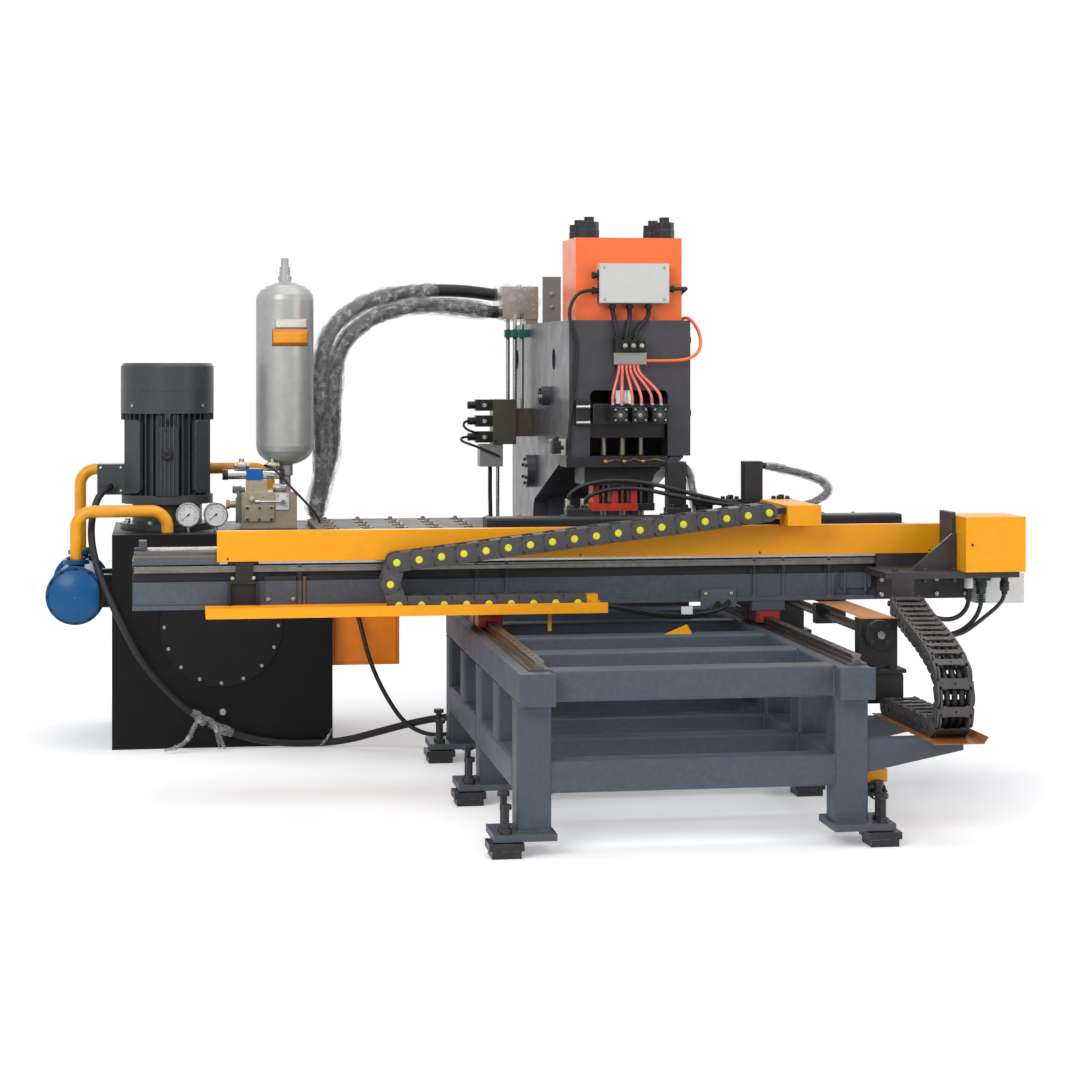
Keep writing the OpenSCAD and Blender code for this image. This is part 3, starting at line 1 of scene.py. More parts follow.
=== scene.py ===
"""Looks of the plate punching machine: materials, hoses, cable chains and small details.

Places and sizes are in millimetres in the CAD frame, and piece() turns them into metres.
"""
import math
import bpy
import numpy as np
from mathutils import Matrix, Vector


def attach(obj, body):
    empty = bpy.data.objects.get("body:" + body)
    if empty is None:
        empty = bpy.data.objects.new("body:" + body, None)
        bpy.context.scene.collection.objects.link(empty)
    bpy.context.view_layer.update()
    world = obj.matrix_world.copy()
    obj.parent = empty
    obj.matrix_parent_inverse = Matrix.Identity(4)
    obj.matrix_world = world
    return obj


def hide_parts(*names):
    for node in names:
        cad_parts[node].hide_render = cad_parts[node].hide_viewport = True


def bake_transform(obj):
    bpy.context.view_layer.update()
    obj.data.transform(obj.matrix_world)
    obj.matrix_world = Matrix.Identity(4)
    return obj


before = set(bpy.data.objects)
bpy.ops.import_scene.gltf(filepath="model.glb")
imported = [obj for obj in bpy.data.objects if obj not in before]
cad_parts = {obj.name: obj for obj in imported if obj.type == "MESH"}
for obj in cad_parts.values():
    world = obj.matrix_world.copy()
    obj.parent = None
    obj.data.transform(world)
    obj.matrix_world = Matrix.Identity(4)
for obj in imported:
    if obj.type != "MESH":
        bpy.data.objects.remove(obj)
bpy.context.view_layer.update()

UP, LEFT, RIGHT, FRONT, BACK = (0, 0, 1), (-1, 0, 0), (1, 0, 0), (0, -1, 0), (0, 1, 0)
SHARP = math.radians(38.0)
BIG = 9000


def metres(place):
    return tuple(float(c) / 1000 for c in place)


class Nodes:
    """A small writer for one node tree."""

    def __init__(self, owner):
        owner.use_nodes = True
        self.owner, self.tree = owner, owner.node_tree
        self.tree.nodes.clear()

    def feed(self, socket, value):
        """Links an output to the socket, or sets a constant on it."""
        if isinstance(value, bpy.types.NodeSocket):
            self.tree.links.new(value, socket)
        else:
            socket.default_value = value

    def add(self, kind, inputs, **values):
        node = self.tree.nodes.new("ShaderNode" + kind)
        for key, value in values.items():
            setattr(node, key, value)
        for key, value in inputs.items():
            self.feed(node.inputs[key], value)
        return node

    def noise(self, scale, detail, rough, squash=None):
        where = self.place
        if squash:
            where = self.add("Mapping", {"Vector": where, "Scale": squash}).outputs["Vector"]
        return self.add("TexNoise", {"Scale": scale, "Detail": detail, "Roughness": rough,
                                     "Vector": where}).outputs["Fac"]

    def span(self, value, low, high, to_low=0.0, to_high=1.0):
        return self.add("MapRange", {"From Min": low, "From Max": high, "To Min": to_low, "To Max": to_high,
                                     "Value": value}).outputs["Result"]

    def math(self, op, a, b):
        return self.add("Math", {0: a, 1: b}, operation=op).outputs["Value"]

    def either(self, mask, a, b):
        """a where the mask is 1, b where it is 0: mask * a + (1 - mask) * b."""
        return self.math("ADD", self.math("MULTIPLY", mask, a),
                         self.math("MULTIPLY", self.math("SUBTRACT", 1.0, mask), b))

    def mix(self, fac, a, b):
        return self.add("Mix", {0: fac, 6: a, 7: b}, data_type="RGBA").outputs[2]

    def vector(self, op, inputs, out="Vector"):
        return self.add("VectorMath", dict(enumerate(inputs)), operation=op).outputs[out]

    def axes(self, vector):
        return self.add("SeparateXYZ", {0: vector}).outputs

    def inside(self, box):
        """1 inside the box x0, x1, y0, y1, z0, z1 in mm: the largest of |p - centre| - half is below 0."""
        low, high = np.array(box[::2]) / 1000, np.array(box[1::2]) / 1000
        away = self.vector("ABSOLUTE", [self.vector("SUBTRACT", [self.place, (low + high) / 2])])
        x, y, z = self.axes(self.vector("SUBTRACT", [away, (high - low) / 2]))
        return self.math("LESS_THAN", self.math("MAXIMUM", self.math("MAXIMUM", x, y), z), 0.0)

    def bump(self, strength, distance, height, **more):
        return self.add("Bump", {"Strength": strength, "Distance": distance, "Height": height,
                                 **more}).outputs["Normal"]


# ---------- camera and light
scene = bpy.context.scene
cam_data = bpy.data.cameras.new("camera")
cam_data.lens = 80.0
cam_data.sensor_width = 36.0
cam_data.shift_y = -180.0 / 1080.0
cam_data.clip_end = 200.0
camera = bpy.data.objects.new("camera", cam_data)
camera.location = (-1.64, -8.55, 1.398)
camera.rotation_euler = (math.radians(90.0), 0.0, math.radians(-8.9))
scene.collection.objects.link(camera)
scene.camera = camera
scene.view_settings.view_transform = "Standard"
scene.view_settings.look = "None"

# name, place, what it points at, width and height, all in metres, and power in watts
for name, place, target, size, power in (
        ("key", (-4.5, -6.5, 4.6), (-0.3, 0.0, 0.8), (4.0, 3.0), 265.0),
        ("fill", (5.5, -5.5, 3.0), (0.0, 0.0, 0.8), (4.0, 3.0), 115.0),
        ("top", (0.0, -0.5, 6.0), (0.0, 0.0, 0.5), (6.0, 5.0), 150.0),
        ("back", (-1.0, 6.5, 4.0), (-0.3, 0.5, 0.8), (5.0, 3.0), 135.0)):
    data = bpy.data.lights.new(name, "AREA")
    data.shape = "RECTANGLE"
    data.size, data.size_y = size
    data.energy = power
    lamp = bpy.data.objects.new(name, data)
    lamp.location = place
    lamp.rotation_mode = "QUATERNION"
    lamp.rotation_quaternion = (Vector(target) - Vector(place)).to_track_quat("-Z", "Y")
    scene.collection.objects.link(lamp)

# pure white where the camera, a reflection or clear film sees it, a softer light elsewhere
scene.world = bpy.data.worlds.new("studio")
w = Nodes(scene.world)
ray = w.add("LightPath", {}).outputs
seen = w.math("ADD", ray["Is Camera Ray"], ray["Is Glossy Ray"])
seen = w.add("Math", {0: seen, 1: ray["Is Transmission Ray"]}, operation="ADD", use_clamp=True).outputs["Value"]
light = w.add("Background", {"Color": (0.93, 0.95, 1.0, 1.0), "Strength": 0.5}).outputs["Background"]
white = w.add("Background", {"Color": (1.0, 1.0, 1.0, 1.0), "Strength": 1.0}).outputs["Background"]
w.add("OutputWorld", {"Surface": w.add("MixShader", {"Fac": seen, 1: light, 2: white}).outputs["Shader"]})


# ---------- materials
def srgb(r, g, b):
    """Linear colour of an 0-255 sRGB colour: c/12.92 below 0.04045, else ((c + 0.055)/1.055)^2.4."""
    scaled = [v / 255.0 for v in (r, g, b)]
    return (*(v / 12.92 if v <= 0.04045 else ((v + 0.055) / 1.055) ** 2.4 for v in scaled), 1.0)


def tone(colour, times):
    """A linear colour made lighter or darker: min(1, c * times)."""
    return (*(min(1.0, c * times) for c in colour[:3]), 1.0)


def material_nodes(name, shader):
    """A new material whose shader has these inputs, with its object coordinates ready as .place."""
    n = Nodes(bpy.data.materials.new(name))
    n.shader = n.add("BsdfPrincipled", shader)
    n.add("OutputMaterial", {"Surface": n.shader.outputs["BSDF"]})
    n.place = n.add("TexCoord", {}).outputs["Object"]
    return n


WORN, DUST = srgb(150, 150, 152), srgb(150, 145, 138)
EDGE = 0.0025
# grains: scale of the colour clouds, strength of the bump, scale of the bump
CAST, ROUGH_CAST, GLOSS = (60.0, 0.05, 320.0), (60.0, 0.06, 320.0), (25.0, 0.03, 240.0)
SATIN, BRUSHED, FLAT = (30.0, 0.05, 180.0), (40.0, 0.05, 300.0), (18.0, 0.04, 160.0)
STICKER, TUBE = (30.0, 0.01, 300.0), (60.0, 0.02, 300.0)


def surface(name, colour, rough, metal, vary, grain, wear=0.0, coat=0.0, dirt=0.0, zones=(), streak=None, spec=0.34):
    """A paint, metal, plastic or rubber: colour clouded by noise, fine bump, worn edges, dust on upward faces,
    and box-shaped zones (x0, x1, y0, y1, z0, z1, colour, metal, roughness) in mm with another finish or with painted
    shade."""
    clouds, bump, bump_scale = grain
    n = material_nodes(name, {"Coat Weight": coat, "Coat Roughness": 0.12, "Specular IOR Level": spec})
    base = srgb(*colour)
    cloud = n.span(n.noise(clouds, 4.0, 0.6), 0.35, 0.65)
    col = n.mix(cloud, tone(base, 1.0 - vary), tone(base, 1.0 + vary))
    col = n.mix(n.span(n.noise(3.1, 3.0, 0.6), 0.45, 0.75, 0.0, 0.7), col, tone(base, 1.0 - 1.4 * vary))
    for *box, z_colour, z_metal, z_rough in zones:
        mask = n.inside(box)
        z_base = srgb(*z_colour)
        col = n.mix(mask, col, n.mix(cloud, tone(z_base, 1.0 - vary), z_base))
        metal = n.either(mask, z_metal, metal)
        rough = n.either(mask, z_rough, rough)
    rounded = n.add("Bevel", {"Radius": EDGE}, samples=4).outputs["Normal"]
    face = n.add("NewGeometry", {}).outputs
    if wear > 0:
        # near 1 on sharp edges, where the rounded and the true normal part
        edge = n.span(n.vector("DOT_PRODUCT", [rounded, face["True Normal"]], "Value"), 0.995, 0.9)
        chips = n.span(n.noise(55.0, 5.0, 0.7), 0.42, 0.6)
        col = n.mix(n.math("MULTIPLY", n.math("MULTIPLY", edge, chips), wear), col, WORN)
    if dirt > 0:
        up = n.span(n.axes(face["Normal"])[2], 0.4, 1.0)
        dust = n.span(n.noise(7.0, 6.0, 0.7), 0.4, 0.7, 0.15, 1.0)
        col = n.mix(n.math("MULTIPLY", n.math("MULTIPLY", up, dust), dirt), col, DUST)
    smear = n.span(n.noise(30.0 if streak else 9.0, 4.0, 0.6, streak), 0.3, 0.7, -0.07, 0.09)
    normal = n.bump(bump, 0.002, n.noise(bump_scale, 3.0, 0.6, streak), Normal=rounded)
    for key, value in (("Base Color", col), ("Metallic", metal), ("Roughness", n.math("ADD", smear, rough)),
                       ("Normal", normal)):
        n.feed(n.shader.inputs[key], value)
    return n.owner


SLATE, AMBER, RED = (73, 80, 91), (248, 166, 22), (152, 46, 38)
BLACK, STEEL, BRIGHT = (34, 34, 36), (168, 168, 166), (202, 203, 205)
ALONG = (1.0, 0.05, 1.0)
# finishes of zones: colour, metal, roughness
TRIM, FITTING, PIPE, PORT = ((40, 40, 42), 0.2, 0.4), (BLACK, 0.1, 0.4), (STEEL, 1.0, 0.26), (BRIGHT, 1.0, 0.18)

m_slate = surface("slate_paint", SLATE, 0.46, 0.0, 0.1, ROUGH_CAST, wear=0.45, dirt=0.14, spec=0.3)
m_beam = surface("beam_paint", (78, 84, 94), 0.42, 0.0, 0.12, ROUGH_CAST, wear=0.5, dirt=0.15, spec=0.35, zones=[
    (-BIG, BIG, -BIG, BIG, 760.5, 800, (104, 101, 97), 1.0, 0.34),
    (-1466, 910, -900, -829.7, 738, 761, (186, 186, 184), 1.0, 0.28),
    (-1440, -1341, -843, -806, 612, 757, *TRIM),
    (103, 219, -843, -829.7, 584, 643.5, (92, 95, 102), 0.2, 0.4),
    # painted shade: a near-black band across the recess between the web and the rail, where the web lies in shadow
    (-BIG, BIG, -829.4, -790, 690, 737.9, (34, 33, 35), 0.0, 0.5),
    (-1204, -1186, -838, -814, 616, 706, (98, 90, 86), 0.6, 0.5)])
m_press = surface("press_paint", (62, 60, 68), 0.32, 0.0, 0.1, SATIN, wear=0.4, coat=0.12, dirt=0.1)
m_amber = surface("amber_paint", AMBER, 0.34, 0.0, 0.04, GLOSS, coat=0.08, spec=0.25)
m_orange = surface("orange_paint", (250, 116, 60), 0.32, 0.0, 0.05, GLOSS, coat=0.15)
m_side = surface("side_box_paint", (242, 132, 30), 0.36, 0.0, 0.05, GLOSS, coat=0.08, spec=0.2)
m_dark = surface("dark_metal", (48, 48, 50), 0.4, 0.35, 0.15, ROUGH_CAST, wear=0.6)
m_black = surface("black_metal", (30, 30, 32), 0.35, 0.2, 0.15, CAST, wear=0.5)
m_tank = surface("tank_paint", (22, 22, 23), 0.45, 0.0, 0.12, FLAT, wear=0.15, dirt=0.08, spec=0.12)
m_motor = surface("motor_paint", (62, 66, 69), 0.4, 0.1, 0.1, ROUGH_CAST, wear=0.35, dirt=0.2)
m_steel = surface("machined_steel", (158, 155, 150), 0.3, 1.0, 0.15, BRUSHED, streak=ALONG)
m_chrome = surface("chrome", (205, 206, 208), 0.16, 1.0, 0.06, (40.0, 0.02, 300.0))
m_zinc = surface("zinc", (176, 172, 158), 0.3, 1.0, 0.12, CAST)
m_silver = surface("silver_paint", (172, 172, 170), 0.36, 0.35, 0.06, (30.0, 0.04, 300.0), wear=0.2)
m_ochre = surface("ochre_paint", (240, 162, 28), 0.34, 0.0, 0.08, (30.0, 0.05, 260.0), coat=0.2, wear=0.3)
m_chain = surface("chain_plastic", (76, 73, 72), 0.42, 0.0, 0.12, (50.0, 0.08, 500.0))
m_yellow = surface("yellow_plastic", (226, 222, 54), 0.4, 0.0, 0.05, (50.0, 0.04, 500.0))
m_pale = surface("pale_metal", (222, 223, 220), 0.38, 0.0, 0.03, (25.0, 0.03, 300.0))
m_rubber = surface("black_rubber", (28, 28, 30), 0.46, 0.0, 0.12, (60.0, 0.08, 420.0))
m_red_tube = surface("red_tube", (236, 120, 104), 0.3, 0.0, 0.08, TUBE, coat=0.3)
m_orange_tube = surface("orange_tube", (240, 112, 44), 0.3, 0.0, 0.06, TUBE, coat=0.3)
m_table = surface("table_metal", (92, 88, 84), 0.55, 0.05, 0.1, BRUSHED, wear=0.2, dirt=0.1, spec=0.15)
m_balls = surface("ball_unit", (122, 116, 108), 0.45, 0.3, 0.12, CAST)
m_tray = surface("tray_paint", (156, 100, 52), 0.36, 0.0, 0.08, (25.0, 0.04, 240.0), coat=0.15, wear=0.3)
m_housing = surface("housing_paint", (66, 64, 70), 0.32, 0.0, 0.1, SATIN, wear=0.4, coat=0.12, dirt=0.1, zones=[
    (-201, -145, -175, -149.5, 1163, 1258, (36, 36, 38), 0.2, 0.38)])
m_stripper = surface("stripper_paint", (206, 62, 44), 0.4, 0.0, 0.12, (40.0, 0.05, 240.0), wear=0.5, zones=[
    (45, BIG, -BIG, BIG, 0, BIG, (52, 50, 52), 0.3, 0.4)])
m_bracket = surface("bracket_paint", (62, 59, 61), 0.4, 0.1, 0.12, ROUGH_CAST, wear=0.4)
m_rail = surface("rail_steel", (120, 117, 112), 0.34, 1.0, 0.15, BRUSHED, streak=ALONG)
m_brass = surface("brass", (190, 150, 70), 0.28, 1.0, 0.12, (60.0, 0.04, 300.0))
m_green = surface("green_plastic", (52, 66, 50), 0.5, 0.0, 0.08, CAST)
m_sticker = surface("sticker_film", (244, 158, 44), 0.3, 0.0, 0.03, STICKER)
m_sticker_pale = surface("sticker_film_pale", (226, 220, 208), 0.3, 0.0, 0.03, STICKER)
m_switch = surface("switch_body", (112, 118, 108), 0.42, 0.2, 0.1, (50.0, 0.05, 320.0))
m_glass = surface("dial_white", (222, 222, 219), 0.2, 0.0, 0.02, (30.0, 0.0, 300.0), coat=0.8)


def film_material(name, tint, clear, bump=0.6):
    """Crumpled clear film: thin, glossy, with folds as bump and bright streaks where it bunches."""
    n = material_nodes(name, {"Roughness": 0.14, "Specular IOR Level": 0.8})
    folds, fine = n.noise(34.0, 6.0, 0.68), n.noise(150.0, 4.0, 0.7)
    streak = n.span(folds, 0.48, 0.74)
    height = n.math("ADD", folds, n.math("MULTIPLY", fine, 0.4))
    for key, value in (("Base Color", n.mix(streak, srgb(*tint), srgb(206, 208, 210))),
                       ("Alpha", n.span(streak, 0.0, 1.0, clear, min(1.0, clear + 0.4))),
                       ("Normal", n.bump(bump, 0.005, height))):
        n.feed(n.shader.inputs[key], value)
    return n.owner


m_film = film_material("clear_film", (128, 129, 132), 0.42)
m_film_thin = film_material("clear_film_thin", (150, 150, 152), 0.36)
m_film_bag = film_material("clear_film_bag", (190, 188, 186), 0.12, 0.25)


# ---------- mesh tools
def piece(name, verts, faces, material, body, slot=None, bevel=0.0, smooth=True):
    """A mesh from points in mm, riding on a body; a bevel in mm rounds its sharp edges."""
    me = bpy.data.meshes.new(name)
    me.from_pydata([metres(v) for v in verts], [], [tuple(map(int, f)) for f in faces])
    me.update()
    me.validate()
    o = bpy.data.objects.new(name, me)
    scene.collection.objects.link(o)
    me.materials.append(material)
    if smooth:
        me.shade_smooth()
        me.set_sharp_from_angle(angle=SHARP)
    if bevel > 0:
        b = o.modifiers.new("round", "BEVEL")
        b.width = bevel / 1000
        b.segments = 2
        b.limit_method = "ANGLE"
        b.angle_limit = SHARP
    if body:
        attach(o, body)
    return o


BOX = [(0, 1, 3, 2), (4, 6, 7, 5), (0, 4, 5, 1), (2, 3, 7, 6), (0, 2, 6, 4), (1, 5, 7, 3)]


def grid(rows, cols, closed=True):
    """Faces between rows of points; a closed grid joins each row's last point to its first."""
    return [(i * cols + k, i * cols + (k + 1) % cols, (i + 1) * cols + (k + 1) % cols, (i + 1) * cols + k)
            for i in range(rows - 1) for k in range(cols if closed else cols - 1)]


def lids(rows, cols):
    """Faces that close a grid's first and last rows."""
    return [tuple(range(cols - 1, -1, -1)), tuple(range((rows - 1) * cols, rows * cols))]


def flipped(faces):
    return [f[::-1] for f in faces]


def circle(n, r, first=0.0):
    return [(r * math.cos(first + 2 * math.pi * k / n), r * math.sin(first + 2 * math.pi * k / n)) for k in range(n)]


class Shape:
    """Collects boxes, prisms, tubes and turned profiles, in mm, into one mesh."""

    def __init__(self):
        self.v, self.f = [], []

    def put(self, verts, faces):
        k = len(self.v)
        self.v.extend([tuple(p) for p in verts])
        self.f.extend([tuple(i + k for i in f) for f in faces])

    def box(self, low, high):
        self.put([(x, y, z) for x in (low[0], high[0]) for y in (low[1], high[1]) for z in (low[2], high[2])], BOX)

    def prism(self, outline, a, b, frame_of):
        """outline[i] = (u, v) becomes frame_of(u, v, w) at w = a and w = b, joined by quads."""
        n = len(outline)
        sides = [(i, (i + 1) % n, n + (i + 1) % n, n + i) for i in range(n)]
        self.put([frame_of(u, v, w) for w in (a, b) for u, v in outline], lids(2, n) + sides)

    def revolve(self, place, axis, profile, sides=32, ring=False):
        """profile[(r, h)] turned about the axis through place: p + h * axis + r * (cos t * a + sin t * b),
        t = 2 pi k / sides, closed by flat ends; a ring joins the profile's last point to its first instead."""
        ax, p = Vector(axis).normalized(), Vector(place)
        a = ax.orthogonal().normalized() if abs(ax.z) >= 0.9 else Vector(UP).cross(ax).normalized()
        b, n = ax.cross(a), len(profile)
        v = [p + ax * h + a * (r * u) + b * (r * w) for r, h in profile for u, w in circle(sides, 1.0)]
        f = [tuple(i % (n * sides) for i in q) for q in grid(n + 1, sides)] if ring else grid(n, sides) + lids(n, sides)
        self.put(v, f)

    def ring(self, place, axis, r0, r1, h, sides=32):
        self.revolve(place, axis, ((r0, 0), (r1, 0), (r1, h), (r0, h)), sides, ring=True)

    def rod(self, place, axis, radius, length, sides=24, ease=0.0):
        """A round or hexagonal bar, its ends chamfered by ease."""
        e = min(ease, radius * 0.4, length * 0.4)
        self.revolve(place, axis, ((radius - e, 0), (radius, e), (radius, length - e), (radius - e, length)) if e else
                     ((radius, 0), (radius, length)), sides)

    def bolt(self, place, axis, flats, height, socket=False):
        """A hexagon head with a washer face, or a socket cap with its hole ring."""
        r, h = flats / (2 if socket else math.sqrt(3)), height
        if socket:
            self.revolve(place, axis, ((r, 0), (r, h * 0.9), (r * 0.92, h), (r * 0.5, h), (r * 0.5, h * 0.5),
                                       (0.1, h * 0.5)), 20)
        else:
            self.revolve(place, axis, ((flats * 0.56, 0), (flats * 0.56, h * 0.14)), 24)
            self.revolve(place, axis, ((r, h * 0.14), (r, h * 0.88), (r * 0.84, h)), 6)

    def make(self, name, material, body, slot=None, bevel=0.0):
        return piece(name, self.v, self.f, material, body, slot, bevel)


def spline(points, step):
    """Points every step along the centripetal-like Catmull-Rom curve through the route: p(t) = sum of the four
    cubic weights, with end slopes scaled by the lengths of the two neighbouring stretches."""
    p = np.array(points, float)
    ext = np.vstack([2 * p[0] - p[1], p, 2 * p[-1] - p[-2]])
    t = np.linspace(0, 1, 24, endpoint=False)[:, None]
    out = []
    for a, b, c, d in zip(ext, ext[1:], ext[2:], ext[3:]):
        before, here, after = (np.linalg.norm(q) for q in (b - a, c - b, d - c))
        m1 = (c - a) * here / max(here + before, 1e-6)
        m2 = (d - b) * here / max(after + here, 1e-6)
        out.append((2 * t**3 - 3 * t**2 + 1) * b + (t**3 - 2 * t**2 + t) * m1
                   + (-2 * t**3 + 3 * t**2) * c + (t**3 - t**2) * m2)
    q = np.vstack(out + [p[-1:]])
    s = np.concatenate([[0], np.cumsum(np.linalg.norm(np.diff(q, axis=0), axis=1))])
    u = np.linspace(0, s[-1], max(8, int(s[-1] / step + 0.5)) + 1)
    return np.stack([np.interp(u, s, q[:, k]) for k in range(3)], 1)


def frames(path):
    """Two side vectors at each point of the path, carried along it without twist."""
    t = np.gradient(path, axis=0)
    t[0], t[-1] = path[1] - path[0], path[-1] - path[-2]
    t /= np.linalg.norm(t, axis=1)[:, None]
    side = np.cross(t[0], UP if abs(t[0][2]) < 0.8 else BACK)
    a = [side / np.linalg.norm(side)]
    for tangent in t[1:]:
        side = a[-1] - tangent * np.dot(a[-1], tangent)
        a.append(side / np.linalg.norm(side))
    return np.array(a), np.cross(t, np.array(a))


def tube(path, radius, sides=14):
    """Surface p(s, t) = c(s) + r(s, t) * (cos t * a(s) + sin t * b(s)); radius is a number or a function of
    (s index, t)."""
    a, b = frames(path)
    s, t = np.meshgrid(np.arange(len(path)), np.linspace(0, 2 * np.pi, sides, endpoint=False), indexing="ij")
    r = (radius(s, t) if callable(radius) else np.full(s.shape, radius))[..., None]
    v = path[:, None] + r * (np.cos(t)[..., None] * a[:, None] + np.sin(t)[..., None] * b[:, None])
    return v.reshape(-1, 3), grid(len(path), sides) + lids(len(path), sides)


def every(xs, ys, zs):
    """All places with one of the given values on each axis; a bare number stands for itself."""
    xs, ys, zs = (q if isinstance(q, (tuple, range)) else (q,) for q in (xs, ys, zs))
    return [(x, y, z) for x in xs for y in ys for z in zs]


def around(centre, axis, n, r, first=0.0):
    """n places on a circle about the centre, in the plane square to the axis x, y or z."""
    i, k = {"x": (1, 2), "y": (0, 2), "z": (0, 1)}[axis]
    out = []
    for u, w in circle(n, r, first):
        p = list(centre)
        p[i] += u
        p[k] += w
        out.append(p)
    return out


def build(name, material, body, slot, bevel, *parts):
    """One piece from parts, each (kind, places, then what that kind takes after its place).
    Places are a list, or the values on the three axes for every()."""
    s = Shape()
    for kind, places, *rest in parts:
        for p in places if isinstance(places, list) else every(*places):
            getattr(s, kind)(p, *rest)
    return s.make(name, material, body, slot, bevel)


def measure(path):
    return float(np.linalg.norm(np.diff(path, axis=0), axis=1).sum())


